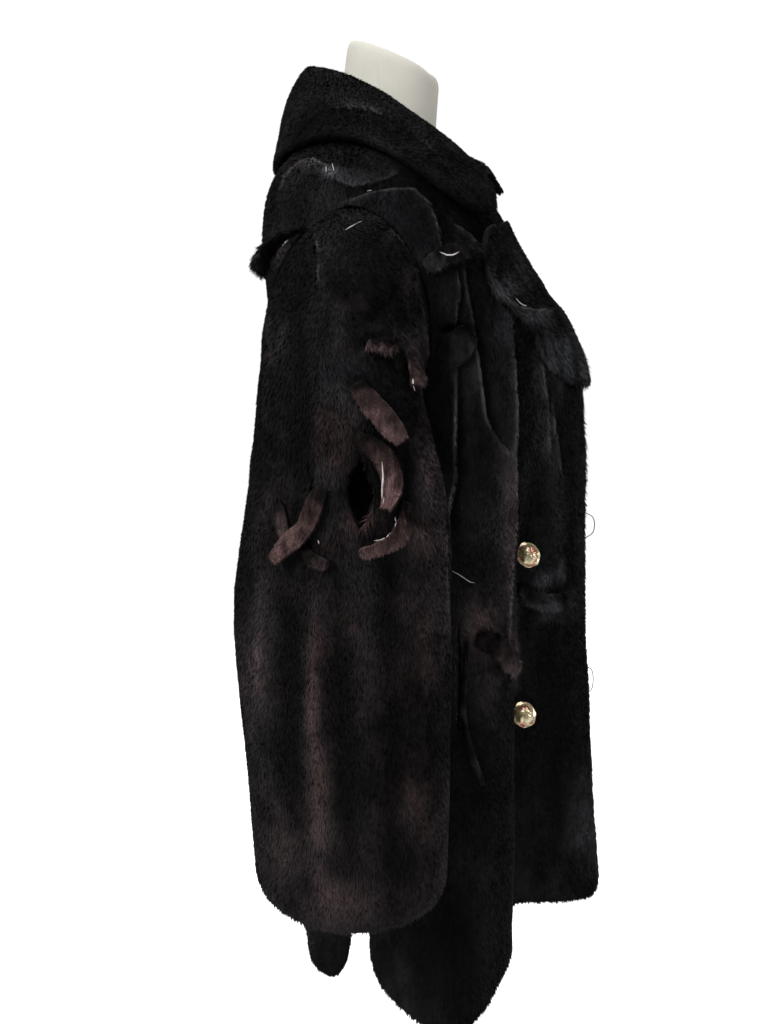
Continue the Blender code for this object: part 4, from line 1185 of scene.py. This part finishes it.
def build_marks(skins, finish):
    """Slivers of bare skin and threads, laid on whatever the picture shows at their pixels."""
    points, faces = [], []
    for skin in skins:
        first = len(points)
        points.extend(vertex.co.copy() for vertex in skin.data.vertices)
        faces.extend([first + k for k in face.vertices] for face in skin.data.polygons)
    coat = BVHTree.FromPolygons(points, faces)
    work = bmesh.new()
    for mark in MARKS:
        stops = []
        for a, b in zip(mark.path, mark.path[1:]):
            stops.extend(Vector(a).lerp(Vector(b), k / MARK_STEPS) for k in range(MARK_STEPS))
        stops.append(Vector(mark.path[-1]))
        places = []
        for stop in stops:
            way = sight(*stop)
            hit, normal = coat.ray_cast(EYE, way)[:2]
            if hit is not None:
                places.append((hit - way * MARK_LIFT, normal if normal.dot(way) < 0 else -normal))
        rings = []
        for k, (place, normal) in enumerate(places):
            low, high = places[max(0, k - 1)][0], places[min(len(places) - 1, k + 1)][0]
            share = k / (len(places) - 1)
            blunt = math.sin(math.pi * share) ** MARK_ROUND
            half = mark.width * MM / 2 * (MARK_END + (1 - MARK_END) * blunt)
            side = (high - low).normalized().cross(normal).normalized() * half
            thick = normal * min(half, MARK_THICK)
            rings.append([work.verts.new(place + off) for off in (side, thick, -side, -thick)])
        for low, high in zip(rings, rings[1:]):
            for j in range(4):
                work.faces.new((low[j], low[(j + 1) % 4], high[(j + 1) % 4], high[j]))
        work.faces.new(rings[0])
        work.faces.new(reversed(rings[-1]))
    bmesh.ops.recalc_face_normals(work, faces=work.faces)
    mesh = finished_mesh("bare_edges", work)
    mesh.materials.append(finish)
    made = put("bare_edges", mesh)
    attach(made, "root")


# ---------------------------------------------------------------- buttons, loops, form and stand
Route = namedtuple("Route", "name start end out reach sag")
ROUTES = [
    Route("loop_upper", (0.08054, -0.16319, 0.9449), (0.08022, -0.16376, 0.91097),
          (0.40841, -0.91244, 0.02551), 0.013, 0.004),
    Route("loop_lower", (0.08174, -0.17098, 0.74977), (0.08233, -0.17314, 0.71277),
          (0.35278, -0.93394, 0.0575), 0.009, 0.006),
]
THREAD = 0.0012
LOOP_POINTS = 25


def build_loops():
    """Two thread loops, each a bow between two points of the coat's edge."""
    for route in ROUTES:
        start, end, out = Vector(route.start), Vector(route.end), Vector(route.out)
        line = bpy.data.curves.new(route.name + "_thread", "CURVE")
        line.dimensions = "3D"
        line.bevel_depth = THREAD / 2
        line.bevel_resolution = 3
        line.use_fill_caps = True
        spline = line.splines.new("POLY")
        spline.points.add(LOOP_POINTS - 1)
        length, before = 0.0, None
        for k in range(LOOP_POINTS):
            share = k / (LOOP_POINTS - 1)
            bow = math.sin(math.pi * share)
            place = start.lerp(end, share) + out * (route.reach * bow)
            place.z += route.sag * math.sin(2 * math.pi * share) * bow
            spline.points[k].co = (*place, 1.0)
            length += (place - before).length if before else 0.0
            before = place
        line.materials.append(thread_finish())
        made = put(route.name + "_thread", line)
        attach(made, "root")
        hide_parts(route.name)


ButtonPlace = namedtuple("ButtonPlace", "name centre way")
BUTTON_PLACES = [
    ButtonPlace("button_right_upper", (-0.01654, -0.11114, 0.90397), (-0.5244, -0.8513, -0.0188)),
    ButtonPlace("button_right_lower", (-0.01505, -0.11125, 0.712), (-0.6225, -0.7826, 0.0021)),
    ButtonPlace("button_left_upper", (0.10207, -0.10512, 0.91709), (0.5364, -0.8439, -0.0051)),
    ButtonPlace("button_left_lower", (0.09955, -0.11122, 0.7318), (0.4814, -0.8758, 0.0359)),
]
BUTTON_RADIUS = 0.0155
BUTTON_OUTLINE = [
    # radius and height in metres, over the shank, the rim and the dome
    (0.0, 0.0), (0.0034, 0.0), (0.0034, 0.0020), (0.0125, 0.0030), (0.0150, 0.0038), (0.0155, 0.0046),
    (0.0148, 0.0053), (0.0122, 0.0050), (0.0114, 0.0072), (0.0100, 0.0102), (0.0074, 0.0122),
    (0.0040, 0.0132), (0.0, 0.0134),
]
DOME_START = 8                 # the outline's first point on the dome
BUTTON_SIDES = 56
LOBES = 7
LOBE_TWIST = 0.6               # how far the lobes turn from one point of the outline to the next
RIM_DENT = 0.06                # how far in the furrows between lobes lie, as a share of the radius,
DOME_DENT = 0.12               # and on the dome
DOME_SINK = 0.0016             # how far the dome's furrows sink
BUTTON_TILT = 0.30             # how far a button turns towards the picture's eye, as a share
BUTTON_RISE = Vector((-0.20, 0.0, 0.50))    # what its loose shank adds to that: up and aside
BUTTON_LIFT = 0.003            # how far it stands off its cloth for that


def build_button(place, finish):
    """A lobed dome over a rim, on a short shank."""
    sides = BUTTON_SIDES
    work = bmesh.new()
    rings = []
    for k, (radius, height) in enumerate(BUTTON_OUTLINE):
        if radius == 0.0:
            rings.append([work.verts.new((0.0, 0.0, height))])
            continue
        dome = k >= DOME_START
        dent = DOME_DENT if dome else RIM_DENT
        ring = []
        for j in range(sides):
            a = 2 * math.pi * j / sides
            lobe = abs(math.cos(LOBES * a / 2 + LOBE_TWIST * k))
            r = radius * (1.0 - dent * (1 - lobe))
            sunk = DOME_SINK * (1 - lobe) * (radius / BUTTON_RADIUS) if dome else 0.0
            ring.append(work.verts.new((r * math.cos(a), r * math.sin(a), height - sunk)))
        rings.append(ring)
    for low, high in zip(rings, rings[1:]):
        for j in range(sides):
            m = (j + 1) % sides
            if len(low) == 1:
                work.faces.new((low[0], high[m], high[j]))
            elif len(high) == 1:
                work.faces.new((low[j], low[m], high[0]))
            else:
                work.faces.new((low[j], low[m], high[m], high[j]))
    bmesh.ops.recalc_face_normals(work, faces=work.faces)
    for face in work.faces:
        face.smooth = True
    mesh = finished_mesh(place.name + "_shell", work)
    way = Vector(place.way).lerp((EYE - Vector(place.centre)).normalized(), BUTTON_TILT)
    way = (way + BUTTON_RISE).normalized()
    turn = way.to_track_quat("Z", "Y").to_matrix().to_4x4()
    stand = Vector(place.centre) + Vector(place.way) * BUTTON_LIFT
    mesh.transform(Matrix.Translation(stand) @ turn)
    mesh.materials.append(finish)
    made = put(place.name + "_shell", mesh)
    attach(made, "root")
    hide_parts(place.name)


def build_form(finish):
    """The cloth over the dress form."""
    form = smooth_copy("form_cover", "dress_form", 2)
    finish_slots(form, finish, finish, finish)
    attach(form, "root")
    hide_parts("dress_form")


def build_stand(finish):
    """The enamelled base and pole, with softened edges."""
    for node in ("stand_base", "stand_pole"):
        made = smooth_copy(node + "_enamel", node, 0)
        finish_slots(made, finish, finish, finish)
        soft = made.modifiers.new("soft edges", "BEVEL")
        soft.width, soft.segments = 0.0006, 2
        soft.limit_method, soft.angle_limit = "ANGLE", math.radians(30)
        settle(made)
        made.data.set_sharp_from_angle(angle=math.radians(40))
        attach(made, "root")
        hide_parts(node)


def build_floor():
    """A pale round floor whose edge melts into the white room."""
    look = Finish("pale floor", Specular_IOR_Level=0.1, Emission_Strength=0.35)
    mottle = look.cloud(3.0, detail=2.0)
    look.set(Base_Color=look.mix(mottle, *PALE), Roughness=0.9, Emission_Color=look.mix(mottle, *PALE_GLOW))
    work = bmesh.new()
    bmesh.ops.create_circle(work, cap_ends=True, radius=4.2, segments=96)
    bmesh.ops.translate(work, verts=work.verts, vec=(0.0, 0.0, -0.0005))
    mesh = finished_mesh("floor", work)
    mesh.materials.append(look.material)
    floor = put("floor", mesh)


# ---------------------------------------------------------------- all of it
def main():
    build_camera()
    build_loops()
    build_light()
    build_floor()
    finishes = {
        # each skin's finish is its fur's, painted darker as the shade deep in the pile
        "fur": fur_finish("fur", depth=1.0, blades=True),
        "skin": fur_finish("fur skin", depth=0.75, blades=False),
        "worn fur": fur_finish("worn fur", depth=1.25, blades=True),
        "worn skin": fur_finish("worn skin", depth=0.7, blades=False),
        "hide": hide_finish(), "torn hide": torn_hide_finish(),
    }
    tree = fur_tree()
    skins = [dress_panel(node, tree, finishes) for node in FUR_PANELS]
    skins += [dress_strip(node, tree, finishes) for node in STRIPS]
    build_marks(skins, finishes["torn hide"])
    gilt = button_finish()
    for place in BUTTON_PLACES:
        build_button(place, gilt)
    build_form(form_cloth_finish())
    build_stand(stand_finish())


main()
